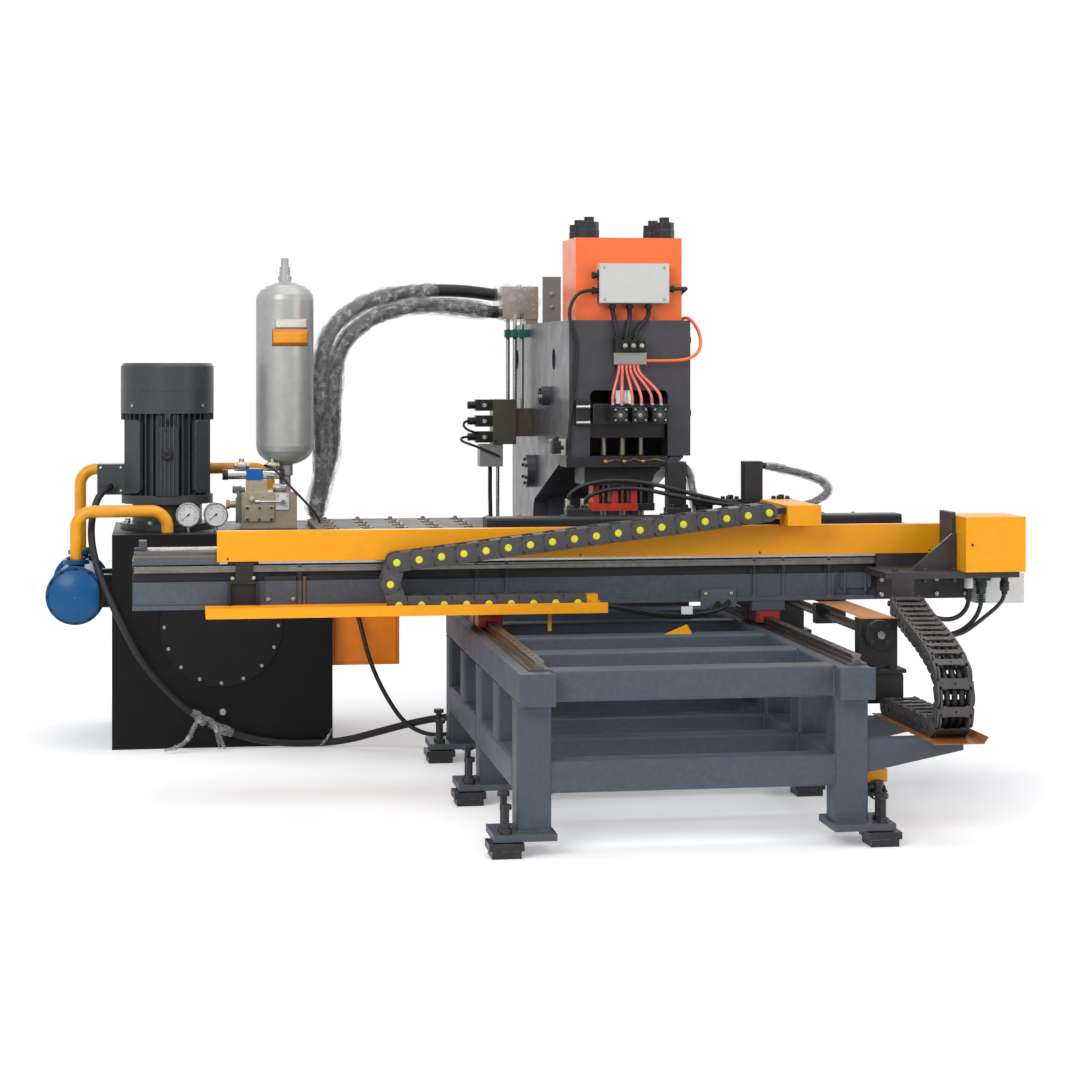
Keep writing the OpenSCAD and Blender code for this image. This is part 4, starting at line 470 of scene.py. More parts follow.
# ---------- hoses and cables
# the points that each one passes through, from end to end
ROUTES = {
    "hose_a": ((-1062, 662, 800), (-1062, 662, 820), (-1058, 662, 855), (-1050, 662, 905), (-1045, 662, 970),
        (-1044, 662, 1056), (-1048, 661, 1162), (-1051, 660, 1265), (-1047, 662, 1360), (-1035, 666, 1440),
        (-1009, 672, 1505), (-958, 686, 1565), (-884, 712, 1614), (-776, 752, 1649), (-640, 800, 1668),
        (-500, 858, 1671), (-400, 902, 1664), (-350, 925, 1658), (-330, 925, 1658)),
    "hose_b": ((-1062, 738, 800), (-1062, 738, 820), (-1056, 737, 855), (-1042, 735, 905), (-1022, 728, 970),
        (-1003, 718, 1056), (-998, 708, 1162), (-997, 700, 1265), (-990, 698, 1360), (-970, 698, 1436),
        (-930, 702, 1496), (-865, 714, 1547), (-776, 734, 1587), (-645, 772, 1610), (-507, 820, 1608),
        (-400, 868, 1594), (-350, 890, 1588), (-330, 890, 1588)),
    "motor_cable": ((-1835, 464, 930), (-1835, 452, 930), (-1848, 436, 926), (-1872, 416, 908), (-1888, 395, 874),
        (-1897, 362, 832), (-1902, 326, 796), (-1898, 268, 735), (-1876, 205, 650), (-1836, 158, 552),
        (-1788, 128, 453), (-1742, 118, 362), (-1690, 118, 284), (-1624, 124, 209), (-1553, 132, 141),
        (-1457, 140, 84), (-1352, 148, 42), (-1229, 152, 18), (-1105, 150, 14), (-998, 140, 22), (-873, 110, 55),
        (-778, 74, 84), (-690, 44, 106), (-600, 20, 118), (-500, 8, 123), (-400, 0, 125), (-260, 0, 125),
        (-220, 0, 125)),
    "box_cable": ((-945, 242, 480), (-945, 232, 480), (-942, 216, 472), (-934, 196, 436), (-922, 178, 385),
        (-907, 160, 324), (-874, 130, 237), (-834, 96, 162), (-787, 66, 96), (-733, 40, 62), (-671, 22, 50),
        (-600, 20, 62), (-500, 40, 84), (-400, 50, 95), (-260, 50, 96), (-220, 50, 96)),
    "lead_left_cable": ((-134, -130, 1645), (-150, -130, 1645), (-180, -133, 1636), (-204, -142, 1611),
        (-218, -154, 1576), (-218, -163, 1538), (-204, -166, 1494), (-196, -166, 1451), (-196, -166, 1398),
        (-200, -166, 1340), (-207, -166, 1275), (-214, -166, 1214), (-220, -166, 1160), (-224, -166, 1110),
        (-225, -165, 1076), (-225, -165, 1056)),
    "lead_right_cable": ((164, -130, 1652), (178, -130, 1652), (200, -122, 1655), (215, -104, 1656), (221, -75, 1655),
        (223, -30, 1650), (223, 30, 1640), (223, 90, 1622), (223, 150, 1600), (220, 200, 1582), (210, 238, 1570),
        (194, 262, 1562), (182, 275, 1552), (182, 275, 1540)),
    "orange_line": ((210, -20, 1540), (210, -20, 1552), (216, -28, 1562), (232, -45, 1558), (250, -68, 1538),
        (264, -95, 1502), (268, -122, 1462), (256, -148, 1430), (228, -168, 1407), (188, -180, 1397),
        (140, -186, 1395), (80, -187, 1395), (52, -187, 1395)),
    "clamp_line_1": ((-283, -490, 894), (-283, -490, 908), (-280, -493, 930), (-262, -498, 952), (-225, -506, 972),
        (-150, -516, 986), (-54, -530, 984), (20, -556, 972), (100, -582, 952), (180, -600, 932), (260, -612, 914),
        (316, -620, 903), (345, -622, 899), (364, -622, 899)),
    "clamp_line_2": ((-230, -490, 894), (-230, -490, 904), (-224, -494, 922), (-206, -502, 938), (-165, -512, 952),
        (-101, -528, 962), (-30, -552, 958), (54, -590, 942), (140, -618, 926), (220, -634, 912), (300, -643, 902),
        (345, -645, 897), (364, -645, 897)),
    "wrapped_line": ((389, -500, 1036), (412, -500, 1036), (440, -503, 1028), (480, -506, 1019), (530, -510, 1009),
        (575, -516, 998), (606, -526, 986), (622, -545, 972), (622, -575, 956), (604, -605, 940), (570, -630, 925),
        (530, -645, 912), (496, -652, 898), (476, -652, 898)),
    "post_line": ((121, -500, 1036), (128, -500, 1036), (139, -502, 1024), (143, -506, 1000), (144, -514, 965),
        (147, -526, 932), (150, -540, 904), (152, -552, 884), (152, -552, 872)),
    "loop_line_1": ((-258, -904, 603), (-250, -904, 603), (-225, -904, 602), (-190, -903, 595), (-127, -900, 580),
        (-51, -896, 567), (26, -892, 560), (90, -886, 563), (138, -876, 577), (157, -862, 591), (160, -850, 598),
        (160, -841, 598)),
    "loop_line_2": ((-258, -921, 606), (-250, -921, 606), (-225, -921, 605), (-190, -920, 599), (-127, -917, 588),
        (-51, -913, 576), (26, -908, 569), (100, -900, 572), (160, -888, 584), (188, -868, 597), (196, -850, 602),
        (196, -841, 602)),
    "servo_line_1": ((1006, -1000, 632), (1006, -1000, 612), (1002, -1002, 590), (990, -1006, 564), (968, -1014, 540),
        (936, -1026, 520), (898, -1040, 508), (860, -1054, 508), (822, -1068, 520), (790, -1078, 540),
        (766, -1082, 565)),
    "servo_line_2": ((960, -1010, 640), (960, -1010, 622), (956, -1013, 600), (944, -1018, 580), (922, -1028, 564),
        (894, -1040, 556), (862, -1052, 556), (828, -1064, 564), (796, -1072, 578), (768, -1076, 592)),
    "servo_line_3": ((1086, -1000, 686), (1086, -1000, 660), (1086, -1000, 636), (1078, -1002, 612),
        (1058, -1007, 590), (1030, -1015, 570), (998, -1026, 550), (964, -1040, 530), (928, -1053, 513),
        (892, -1066, 506), (856, -1078, 512), (822, -1088, 527), (790, -1094, 548)),
    "valve_cable": ((-1270, 462, 1004), (-1262, 450, 1004), (-1244, 436, 996), (-1216, 424, 972), (-1184, 416, 936),
        (-1148, 410, 898), (-1114, 404, 862), (-1086, 400, 830), (-1072, 400, 806), (-1068, 400, 791)),
    "box_hose": ((-381, 752, 984), (-381, 752, 950), (-381, 753, 900), (-380, 754, 840), (-378, 756, 780),
        (-372, 760, 720), (-356, 766, 660), (-328, 772, 610), (-290, 776, 575), (-250, 778, 560), (-219, 778, 558)),
    "solenoid_cable_1": ((-469, 750, 1098), (-482, 748, 1098), (-496, 738, 1095), (-502, 722, 1089),
        (-495, 706, 1081), (-476, 696, 1074), (-450, 694, 1065), (-422, 694, 1054), (-394, 694, 1042),
        (-372, 694, 1032), (-352, 694, 1023)),
    "solenoid_cable_2": ((-469, 750, 1160), (-480, 748, 1158), (-488, 738, 1150), (-487, 724, 1138),
        (-477, 714, 1128), (-462, 711, 1121), (-446, 716, 1116), (-436, 724, 1112)),
}
# the conduits under the junction box: x of each, with y and z in common
DROP_X = ((-60, -60, -60, -60, -60, -58, -52, -52), (2, 2, 1, -3, -8, -14, -18, -18), (71, 71, 69, 61, 49, 28, 16, 16))
DROP_Y, DROP_Z = (-130, -130, -141, -158, -169, -177, -180, -180), (1582, 1575, 1563, 1549, 1534, 1512, 1490, 1478)
for i, xs in enumerate(DROP_X):
    ROUTES[f"conduit_{i + 1}"] = tuple(zip(xs, DROP_Y, DROP_Z))
# the air lines fall from the manifold to the selectors in one S, part of the way across at each height
AIR_PART, AIR_Z = (0, 0, .102, .38, .705, .915, .987, 1, 1), (1382, 1372, 1352, 1328, 1302, 1280, 1264, 1251, 1241)
for i, (x0, x1) in enumerate(((-46, -83), (-34, -57), (-20, -13), (-6, 13), (8, 57), (22, 83))):
    ROUTES[f"air_line_{i + 1}"] = tuple((round(x0 + (x1 - x0) * part), round(-184 - (108 if i % 2 else 78) * part), z)
                                        for part, z in zip(AIR_PART, AIR_Z))


def wrap(name, path, diameter, body, loose, seed, first, last, material, calm):
    """Film wound on a hose: r(s, t) = d/2 * (1.05 + loose * crumple), crumple a sum of 26 sines in s and t with
    fixed phases; calm below 1 makes its folds longer."""
    rng = np.random.default_rng(seed)
    n = len(path)
    cut = path[int(first * (n - 1)):int(last * (n - 1)) + 1]
    fine = spline(cut[:: max(1, len(cut) // 60)] if len(cut) > 60 else cut, max(measure(cut) / 260, 6))
    waves = [(calm * rng.uniform(0.04, 0.5), rng.integers(1, 7 if calm == 1.0 else 4), rng.uniform(0, 6.28),
              rng.uniform(0.3, 1.0)) for _ in range(26)]

    def radius(s, t):
        c = np.abs(sum(amp * np.sin(k * s + m * t + phase) for k, m, phase, amp in waves)) / 4.0
        end = np.clip(np.minimum(s, s.max() - s) / 4.0, 0.0, 1.0)
        return diameter / 2 * (1.05 + loose * np.minimum(c, 1.0) * (0.35 + 0.65 * end))

    return piece(name, *tube(fine, radius, 22), material, body)


def eased(path, rounds):
    """The path with its bends opened: each inner point moves halfway to the middle of its neighbours, each round."""
    p = path.copy()
    for _ in range(rounds):
        p[1:-1] += 0.5 * ((p[:-2] + p[2:]) / 2 - p[1:-1])
    return p


def hose(name, diameter, replaces=None, body="base", material=m_rubber, slot="black_rubber",
         sides=14, ribs=0.0, bend=None, films=(), ease=0.0):
    """A cord on its route; ribs > 0 makes corrugated conduit, whose every other ring is smaller: r = d/2 * (1 - ribs).
    films are (loose, seed, from, to, material, calm) sleeves of clear film on it."""
    step = 3.2 if ribs else max(diameter * 0.4, 6)
    path = eased(spline(ROUTES[name], step), int(2 * (ease * diameter / step) ** 2))
    ribbed = (lambda s, t: diameter / 2 * (1 - ribs * (s % 2))) if ribs else diameter / 2
    o = piece(name, *tube(path, ribbed, sides), material, None if bend else body, slot)
    if bend:
        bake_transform(o)
    if replaces:
        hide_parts(replaces)
    sleeves = [wrap(f"film_{name}_{i + 1}", path, diameter, body, *film) for i, film in enumerate(films)]


hose("hose_a", 50, "main_hoses",
     films=[(0.30, 3, 0.0, 0.80, m_film, 1.0), (0.75, 13, 0.0, 0.82, m_film_bag, 0.3)])
hose("hose_b", 50, "main_hoses",
     films=[(0.32, 5, 0.0, 0.97, m_film, 1.0), (0.80, 15, 0.0, 0.98, m_film_bag, 0.3)])
fittings = build("hose_fittings", m_zinc, "base", "chrome", 0.8,
                 ("rod", (-1062, (662, 738), 770), UP, 22, 30, 28),
                 ("rod", (-1062, (662, 738), 771), UP, 27.5, 14, 6, 2))
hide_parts("main_hoses")
hose("motor_cable", 26, "floor_cables", ease=1.0, films=[(0.5, 11, 0.462, 0.5, m_film, 1.0)])
hose("box_cable", 16, "floor_cables", ease=1.6)
hose("lead_left_cable", 14, "press_cables", ribs=0.16)
hose("lead_right_cable", 14, "press_cables", ribs=0.16, ease=1.6)
for i in range(3):
    hose(f"conduit_{i + 1}", 18, "press_cables", ribs=0.14)
hose("orange_line", 12, "press_cables", material=m_orange_tube, slot="orange_paint", ease=2.6)
for i in range(6):
    hose(f"air_line_{i + 1}", 10.5, "air_hoses", material=m_red_tube, slot="red_tube", sides=12,
         bend=("base", "ram", (0, -0.2, 1.375), (0, -0.2, 1.245)))
hose("clamp_line_1", 14, "clamp_hoses", "carriage")
hose("clamp_line_2", 14, "clamp_hoses", "carriage", ease=1.2)
hose("wrapped_line", 22, "clamp_hoses", "carriage", ease=2.2, films=[(0.5, 8, 0.04, 0.97, m_film_thin, 1.0)])
hose("post_line", 22, "clamp_hoses", "carriage", ease=1.4, films=[(0.6, 9, 0.05, 0.98, m_film_thin, 1.0)])
for i in range(2):
    hose(f"loop_line_{i + 1}", 16, "servo_cables", "beam", ease=1.6)
for i, diameter in enumerate((16, 16, 14)):
    hose(f"servo_line_{i + 1}", diameter, "servo_cables", "beam", ribs=0.14)
hose("valve_cable", 9)
hose("box_hose", 16)
hose("solenoid_cable_1", 10, ease=1.4)
hose("solenoid_cable_2", 10, ease=1.0)
build("clamp_ferrules", m_zinc, "carriage", "chrome", 0.5,
      ("rod", ((-283, -230), -490, 894), UP, 9.5, 6, 6),
      ("rod", ((-283, -230), -490, 899), UP, 8.6, 26, 24, 1))
build("plug_nuts", m_green, "beam", None, 0.4,
      *(("ring", (x, y, z + k * h / 5), UP, r * 0.6, r * (1.0 - 0.03 * k), h / 10) for k in range(5)
        for x, y, z, r, h in ((1006, -1000, 604, 16.5, 32), (960, -1010, 616, 12.5, 28))))


# ---------- cable chains
WALL, PLAY = 6, 1.6
# a pin and its cap: part of the radius, how deep it starts and how far it stands out of the plate
PINS = ((1.0, WALL, 2.6), (0.82, 0, 3.4))
RUNS = ("lower", "bend", "upper")


def link_parts(shape, pins, at, along, up, side, pitch, height, width, pin_r):
    """One link: two stepped side plates (outer ear at pin A, inner ear at pin B) joined by two cross bars.
    Plane point (u, v, w) -> at + u*along + v*up + w*side."""
    def put(u, v, w):
        return at + u * along + v * up + w * side

    r, out = height / 2, width / 2
    step, back = out - WALL - PLAY, out - 2 * WALL - PLAY
    web0, web1 = r * 0.93, pitch - r * 0.93
    turns = np.linspace(math.pi / 2, 3 * math.pi / 2, 15)
    arc = [(r * math.cos(a), r * math.sin(a)) for a in turns]
    plates = [(arc + [(web1, -r), (web1, r)], out - WALL, out),
              ([(web0, r), (web0, -r)] + [(pitch - x, -y) for x, y in arc], back, step),
              ([(web0, -r * 0.98), (web1, -r * 0.98), (web1, r * 0.98), (web0, r * 0.98)], back, out - WALL),
              ([(x * 0.8 + 1, y * 0.74) for x, y in arc + [(web1 * 1.25 - 8.75, -r), (web1 * 1.25 - 8.75, r)]], out,
               out + 1.1)]
    bars = pitch * 0.24

    def slab(low, high, near, far):
        """The outline of a bar across the link, its half width near one edge and far from it."""
        mid = pitch / 2
        return [(mid - near, low), (mid + near, low), (mid + far, high), (mid - far, high)]

    for s in (-1, 1):
        def mirrored(u, v, w, s=s):
            return put(u, v, s * w)
        for outline, a, b in plates:
            shape.prism(outline, a, b, mirrored)
        for part, deep, proud in PINS:
            pins.prism(circle(22, pin_r * part), out - deep, out + proud, mirrored)
        rim, low, high = s * r, s * r * 0.99, s * (r - 5.5)
        shape.prism(slab(low, high, bars, bars * 0.82), -back, back, put)
        for c in (7 - back, back - 7):
            shape.prism(slab(rim, high, bars * 1.12, bars * 1.12), c - 6.5, c + 6.5, put)
        shape.prism(slab(rim, -rim, 4, 4), -3, 3, put)


def chain(name, start, steps, sides, pitch, height, width, pin_r, cuts, blends, pin_material):
    """Three pieces: lower run, bend and upper run."""
    at = np.array(start, float)
    spots = [at]
    groups = [(Shape(), Shape()) for _ in RUNS]
    for i, (step, side) in enumerate(zip(steps, sides)):
        along = np.array(step) / np.linalg.norm(step)
        side = np.array(side, float) / np.linalg.norm(side)
        links, pins = groups[sum(i >= cut for cut in cuts)]
        link_parts(links, pins, at, along, np.cross(side, along), side, pitch, height, width, pin_r)
        at = at + np.array(step)
        spots.append(at)
    for s in (-1, 1):
        for part, _, proud in PINS:
            groups[2][1].rod(at + s * side * (width / 2 - 2 * WALL), s * side, pin_r * part, 2 * WALL + proud, 22)
    for (links, pins), run, blend in zip(groups, RUNS, blends):
        o = links.make(f"{name}_{run}", m_chain, None, "chain_plastic", 0.9)
        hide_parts(name)
        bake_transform(o)
        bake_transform(pins.make(f"{name}_pins_{run}", pin_material, None, None, 0.6))
    return np.array(spots)


X_PITCH, Y_PITCH = 72, 66
X_CUTS, Y_CUTS = (8, 10), (7, 11)
# heading of each link of the crosswise chain, in degrees
x_turns = [180] * 8 + [112, 74] + [6.85] * 17
x_steps = [(X_PITCH * math.cos(h), 0.0, X_PITCH * math.sin(h)) for h in np.radians(x_turns)]
x_sides = [BACK] * len(x_steps)
x_blends = [("beam", "carriage", (-0.328, -0.91, 0.62), (-1.50, -0.91, 0.62)),
            ("beam", "carriage", (-0.9, -1.91, 0.69), (-0.9, 0.088, 0.69)),
            ("beam", "carriage", (-2.12, -0.91, 0.75), (0.304, -0.91, 0.75))]
x_spots = chain("x_chain", (-328, -911.5, 619), x_steps, x_sides, X_PITCH, 60, 95, 11.8, X_CUTS, x_blends, m_yellow)

# heading and lean of each link of the lengthwise chain, in degrees
y_turns = [(180, 0)] * 7 + [(148, 1.5), (106, 3.1), (64, 4.7), (24, 6.3)]
y_turns += [(h, 7.8) for h in (12, 10, 9, 7, 6, 6, 6, 7, 8, 9, 10)]
y_steps, y_sides = [], []
for h, lean in np.radians(y_turns):
    flat = Y_PITCH * math.cos(h)
    y_steps.append((flat * math.sin(lean), flat * math.cos(lean), Y_PITCH * math.sin(h)))
    y_sides.append((-math.cos(lean), math.sin(lean), 0.0))
y_start = (612, -1368, 327)
y_end = (y_start[1] + sum(step[1] for step in y_steps)) / 1000
y_blends = [("base", "beam", (0.61, -1.368, 0.33), (0.61, -2.33, 0.33)),
            ("base", "beam", (-0.4, -1.86, 0.42), (1.6, -1.86, 0.42)),
            ("base", "beam", (0.61, -2.53, 0.5), (0.61, y_end, 0.5))]
y_spots = chain("y_chain", y_start, y_steps, y_sides, Y_PITCH, 54, 108, 9, Y_CUTS, y_blends, m_black)


def fill(name, spots, sides, offsets, radius, cuts, blends):
    """Cables laid inside a chain: the line through its pins, moved sideways by each offset, in the same three parts."""
    side = np.array([np.array(q, float) / np.linalg.norm(q) for q in (*sides, sides[-1])])
    for run, a, b, blend in zip(RUNS, (0, *cuts), (*cuts, len(spots) - 1), blends):
        s = Shape()
        for u, w in offsets:
            s.put(*tube(spline(spots[a:b + 1] + side[a:b + 1] * u + np.array((0, 0, w)), 12), radius, 12))
        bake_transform(s.make(f"{name}_{run}", m_rubber, None))


fill("y_chain_cables", y_spots, y_sides, ((-22, 0), (0, 3), (22, -2)), 9, Y_CUTS, y_blends)
fill("x_chain_cables", x_spots, x_sides, ((-16, 0), (14, 2)), 8, X_CUTS, x_blends)


# ---------- small hardware
def bead(shape, p, q, r=3.5, step=4.51):
    """A weld bead from p to q: rings about a step apart, the i-th of radius
    r * (1 + 0.22 * sin(2.4 i) + 0.1 * sin(0.37 i + 1.3))."""
    p, q = np.array(p, float), np.array(q, float)
    n = max(3, int(np.linalg.norm(q - p) / step))
    path = np.array([p + (q - p) * i / n for i in range(n + 1)])
    shape.put(*tube(path, lambda s, t: r * (1 + 0.22 * np.sin(2.4 * s) + 0.1 * np.sin(0.37 * s + 1.3)), 6))


def box_bead(shape, axis, at, u0, u1, v0, v1):
    """Beads round a rectangle on the plane axis = at."""
    corners = [{"x": (at, u, v), "y": (u, at, v), "z": (u, v, at)}[axis]
               for u, v in ((u0, v0), (u1, v0), (u1, v1), (u0, v1))]
    for p, q in zip(corners, corners[1:] + corners[:1]):
        bead(shape, p, q)


welds = Shape()
for y in (-1800, -1395, -990, -585, -175):
    for z0, z1 in ((430, 516), (172, 258)):
        for x in (-556, 269):
            box_bead(welds, "x", x, y - 44, y + 44, z0, z1)
for x0 in (-655, 272):
    for y in (-1800, -990, -180):
        for z in (66, 427):
            box_bead(welds, "z", z, x0 + 1, x0 + 95, y - 48, y + 48)
    for y in (-1749, -1041, -939, -231):
        box_bead(welds, "y", y, x0 + 3, x0 + 93, 172, 258)
for y in (-1835, -1765, -1430, -1360):
    bead(welds, (371, y, 205), (371, y, 296))
welds.make("frame_welds", m_slate, "base", "slate_paint")
beads = Shape()
for x in (-1210, -640, -540, 286, 384, 540, 860):
    for dx in (-6, 6):
        bead(beads, (x + dx, -807, 618), (x + dx, -807, 744), 3, 4.5)
beads.make("beam_welds", m_slate, "beam", "slate_paint")

build("rail_plugs", m_black, "base", None, 0,
      ("rod", ((-593, 334), range(-1800, -150, 75), 548), UP, 5.5, 0.6, 16))
build("beam_rail_plugs", m_black, "beam", None, 0,
      ("rod", (range(-1700, 940, 75), (-812, -640), 788), UP, 4.5, 0.5, 14))

# the foot of the electric motor
MOTOR = (-1628, 550, 792)
build("bright_screws", m_zinc, "base", "chrome", 0.4,
      ("bolt", ((-94, 124), -160, (1614, 1728)), FRONT, 11, 2.5, True),
      ("bolt", ((-1222, -1187), 428, 892), FRONT, 8, 4, True),
      ("bolt", (-1318, 420, 880), FRONT, 15, 6),
      ("bolt", around(MOTOR, "z", 8, 160, math.pi / 8), UP, 19, 11),
      ("bolt", ((-1872, -1798), 480, (912, 999)), FRONT, 10, 5),
      ("bolt", (-243, (905, 935), 1690), UP, 13, 8),
      ("bolt", (-177, 500, (1600, 1650)), FRONT, 14, 8),
      ("rod", ((-30, 0, 30), -214, 1448), FRONT, 8.5, 4, 24, 1),
      ("rod", ((-30, 0, 30), -218, 1448), FRONT, 5.5, 10, 20, 1),
      ("rod", (-410, 700, (1222, 1160, 1098)), FRONT, 8.5, 3, 24))

build("dark_bolts", m_black, "base", "dark_metal", 0.4,
      ("bolt", ((-1335, -1290, -1246), 420, (806, 848)), FRONT, 10, 3, True),
      ("bolt", around((-252, 300, 1264), "x", 6, 24, math.pi / 6) + around((-252, 690, 966), "x", 6, 46, math.pi / 6),
       LEFT, 12, 8),
      ("bolt", ((540, 592), (-1350, -1255), 437), UP, 16, 10),
      ("bolt", ((-225, -20, 115), -180, 1029), FRONT, 14, 8),
      ("bolt", ((-368, -294), 700, (1083, 1082)), FRONT, 10, 6, True),
      ("bolt", around((-1955, 212, 552), "y", 12, 97), FRONT, 13, 8),
      ("bolt", around((-1955, 818, 552), "y", 12, 97), BACK, 13, 8),
      ("bolt", around((-1955, 300, 676), "z", 4, 38, math.pi / 4) + around((-1955, 746, 676), "z", 4, 38, math.pi / 4),
       UP, 12, 8))

# selector cylinder ends, which ride on the ram
SELECTORS = (-70, 0, 70)
build("selector_caps", m_motor, "ram", "dark_metal", 0.4,
      ("ring", (SELECTORS, -342, 1207), FRONT, 9.5, 16.5, 3),
      *(("box", (x + u - a, -344, 1207 + w - b), (x + u + a, -342, 1207 + w + b)) for x in SELECTORS
        for u, w, a, b in ((20, 0, 3, 2), (0, 20, 2, 3), (-20, 0, 3, 2), (0, -20, 2, 3))))
build("selector_screws", m_zinc, "ram", "chrome", 0.3,
      ("bolt", ((-88.5, -51.5, -18.5, 18.5, 51.5, 88.5), -342, (1188.5, 1225.5)), FRONT, 7.2, 3.5, True),
      ("rod", ((-83, -13, 57), -262, 1238), UP, 6.8, 8, 6),
      ("rod", ((-57, 13, 83), -292, 1238), UP, 6.8, 8, 6))

# brass lubrication fittings and their thin copper pipe on the guide plate
COPPER = ((-94, -191, 1038), (-80, -193, 1041), (-60, -194, 1046), (-44, -193, 1040), (-27, -192, 1038),
          (-12, -193, 1041), (8, -194, 1048), (26, -193, 1041), (41, -192, 1038), (58, -193, 1043), (84, -194, 1046),
          (104, -190, 1041), (118, -182, 1039))
copper, faces = tube(spline(COPPER, 4), 1.6, 8)
build("lubrication_fittings", m_brass, "base", None, 0.3,
      ("bolt", ((-94, -27, 41), -180, 1038), FRONT, 13, 8),
      ("rod", ((-94, -27, 41), -188, 1038), FRONT, 4.5, 6, 16),
      ("put", [copper], faces))

# dials: white face, ticks at 10 degrees, pointer
DIAL_Z = 832
face, marks, pointer = Shape(), Shape(), Shape()


def hand(shape, x, degrees, ends, back, front):
    """A flat bar on a dial, its ends given as (distance from the middle, half width)."""
    u, w = math.sin(math.radians(degrees)), math.cos(math.radians(degrees))
    shape.put([(x + r * u + e * t * w, y, DIAL_Z + r * w - e * t * u) for r, t in ends for e in (-1, 1)
               for y in (back, front)], BOX)


for x in (-1553, -1453):
    face.rod((x, 304, DIAL_Z), FRONT, 38.8, 0.6, 48)
    for k in range(28):
        near, t = (27, 0.45) if k % 5 else (24, 0.9)
        hand(marks, x, -135 + 10 * k, ((near, t), (33, t)), 303.35, 302.9)
    hand(pointer, x, -128, ((-8, 1.6), (29, 0.5)), 302.7, 302)
    pointer.rod((x, 303.2, DIAL_Z), FRONT, 4, 2, 20)
face.make("dial_faces", m_glass, "base")
marks.make("dial_ticks", m_black, "base")
pointer.make("dial_pointers", m_black, "base")

# bolts that ride on the cross beam and on the clamp carriage
build("beam_bolts", m_zinc, "beam", "chrome", 0.4,
      ("bolt", ((-635, -551, 292, 376), (-813, -617), 616), UP, 17, 10),
      ("bolt", ((-1425, -1358), -838, 702), FRONT, 12, 7),
      ("bolt", ((-1312, -1232), -828, 632), FRONT, 12, 7),
      ("bolt", ((118, 204), -841, 630), FRONT, 11, 6),
      ("bolt", ((715, 812, 905, 1005), -842, (620, 668)), FRONT, 15, 9))
build("cover_screws", m_black, "beam", None, 0,
      ("rod", (942, -1100, 800), FRONT, 4, 2, 16),
      ("rod", ((-1440, -900, -300, 300, 880), -845, 764), FRONT, 3.5, 1.5, 14, 0.5))
build("carriage_bolts", m_black, "carriage", "dark_metal", 0.4,
      ("bolt", ((-520, -180, 180, 520, 800), (-812, -690), 815), UP, 16, 10),
      ("bolt", ((-285, -225, 60, 120, 328, 388), -450, 850), FRONT, 14, 9))


# ---------- film ends, connectors and small fittings
def wisp(shape, points, width, seed):
    """Twisted film: a tube of radius w/2 * (0.62 + 0.38 * |sin(0.9 s + t + q) * sin(0.31 s + 2 t)|), thin at both
    ends, on a smooth route."""
    path = spline(points, 5)
    last = len(path) - 1.0

    def radius(s, t):
        ends = 0.45 + 0.55 * np.minimum(1.0, 4.0 * np.minimum(s, last - s) / last + 0.15)
        return width / 2 * ends * (0.62 + 0.38 * np.abs(np.sin(0.9 * s + t + seed)) * np.abs(np.sin(0.31 * s + 2 * t)))

    shape.put(*tube(path, radius, 16))


film = Shape()
for width, seed, points in (
        (42, 1.0, ((-1536, 138, 134), (-1524, 112, 128), (-1508, 104, 112), (-1500, 112, 96))),
        (20, 2.0, ((-1516, 106, 118), (-1536, 92, 84), (-1556, 84, 50), (-1590, 76, 24), (-1640, 70, 12))),
        (14, 4.0, ((-1524, 104, 116), (-1548, 88, 70), (-1572, 84, 36), (-1608, 80, 14))),
        (20, 3.0, ((-1504, 106, 126), (-1474, 98, 110), (-1450, 90, 70), (-1436, 84, 32), (-1424, 80, 10))),
        (12, 5.0, ((-1500, 104, 120), (-1466, 92, 92), (-1452, 84, 48), (-1446, 82, 10))),
        (12, 6.0, ((-1042, 136, 66), (-1052, 128, 44), (-1066, 124, 24), (-1084, 122, 9)))):
    wisp(film, points, width, seed)
film.make("film_ends", m_film, "base")

# connectors under the servo box, a tag on the looped cables, a tab under the gutter
build("pale_connector", m_pale, "beam", None, 0.4,
      ("revolve", (960, -1010, 652), UP, ((13.2, 0), (14.8, 1), (14.8, 33), (13.6, 34)), 28))
build("corrugated_connector", m_green, "beam", None, 0.3,
      *(("ring", (1006, -1000, 655 + 4.6 * k), UP, 16.5, 19.6 - 0.2 * k, 2.6) for k in range(7)))
build("dark_connectors", m_black, "beam", None, 0.6,
      ("box", (982, -1024, 684), (1036, -976, 689.9)),
      ("box", (986, -1021, 676), (1032, -979, 684)),
      ("revolve", (1086, -1000, 640), UP,
       ((0.1, 0), (13.5, 0), (15.5, 3), (15.5, 30), (12.5, 33), (12.5, 49.9)), 28),
      ("rod", (1086, -1000, 630), UP, 9.8, 12, 20))
build("cable_tag", m_pale, "beam", None, 0.3, ("box", (18, -926, 572), (56, -925, 598)))
build("gutter_tab", m_amber, "beam", "amber_paint", 0.6, ("box", (-417, -905, 523), (-405, -899, 585.7)))

# pressure switch beside the valve block
build("pressure_switch", m_switch, "base", None, 1.2,
      ("box", (-1376, 452, 790.3), (-1344, 500, 884)),
      ("box", (-1372, 448, 884), (-1348, 504, 902)),
      ("rod", (-1388, 478, 914), RIGHT, 13.5, 34, 24, 2),
      ("rod", (-1354, 478, 914), RIGHT, 9, 12, 20),
      ("box", (-1380, 460, 900), (-1362, 496, 926)))

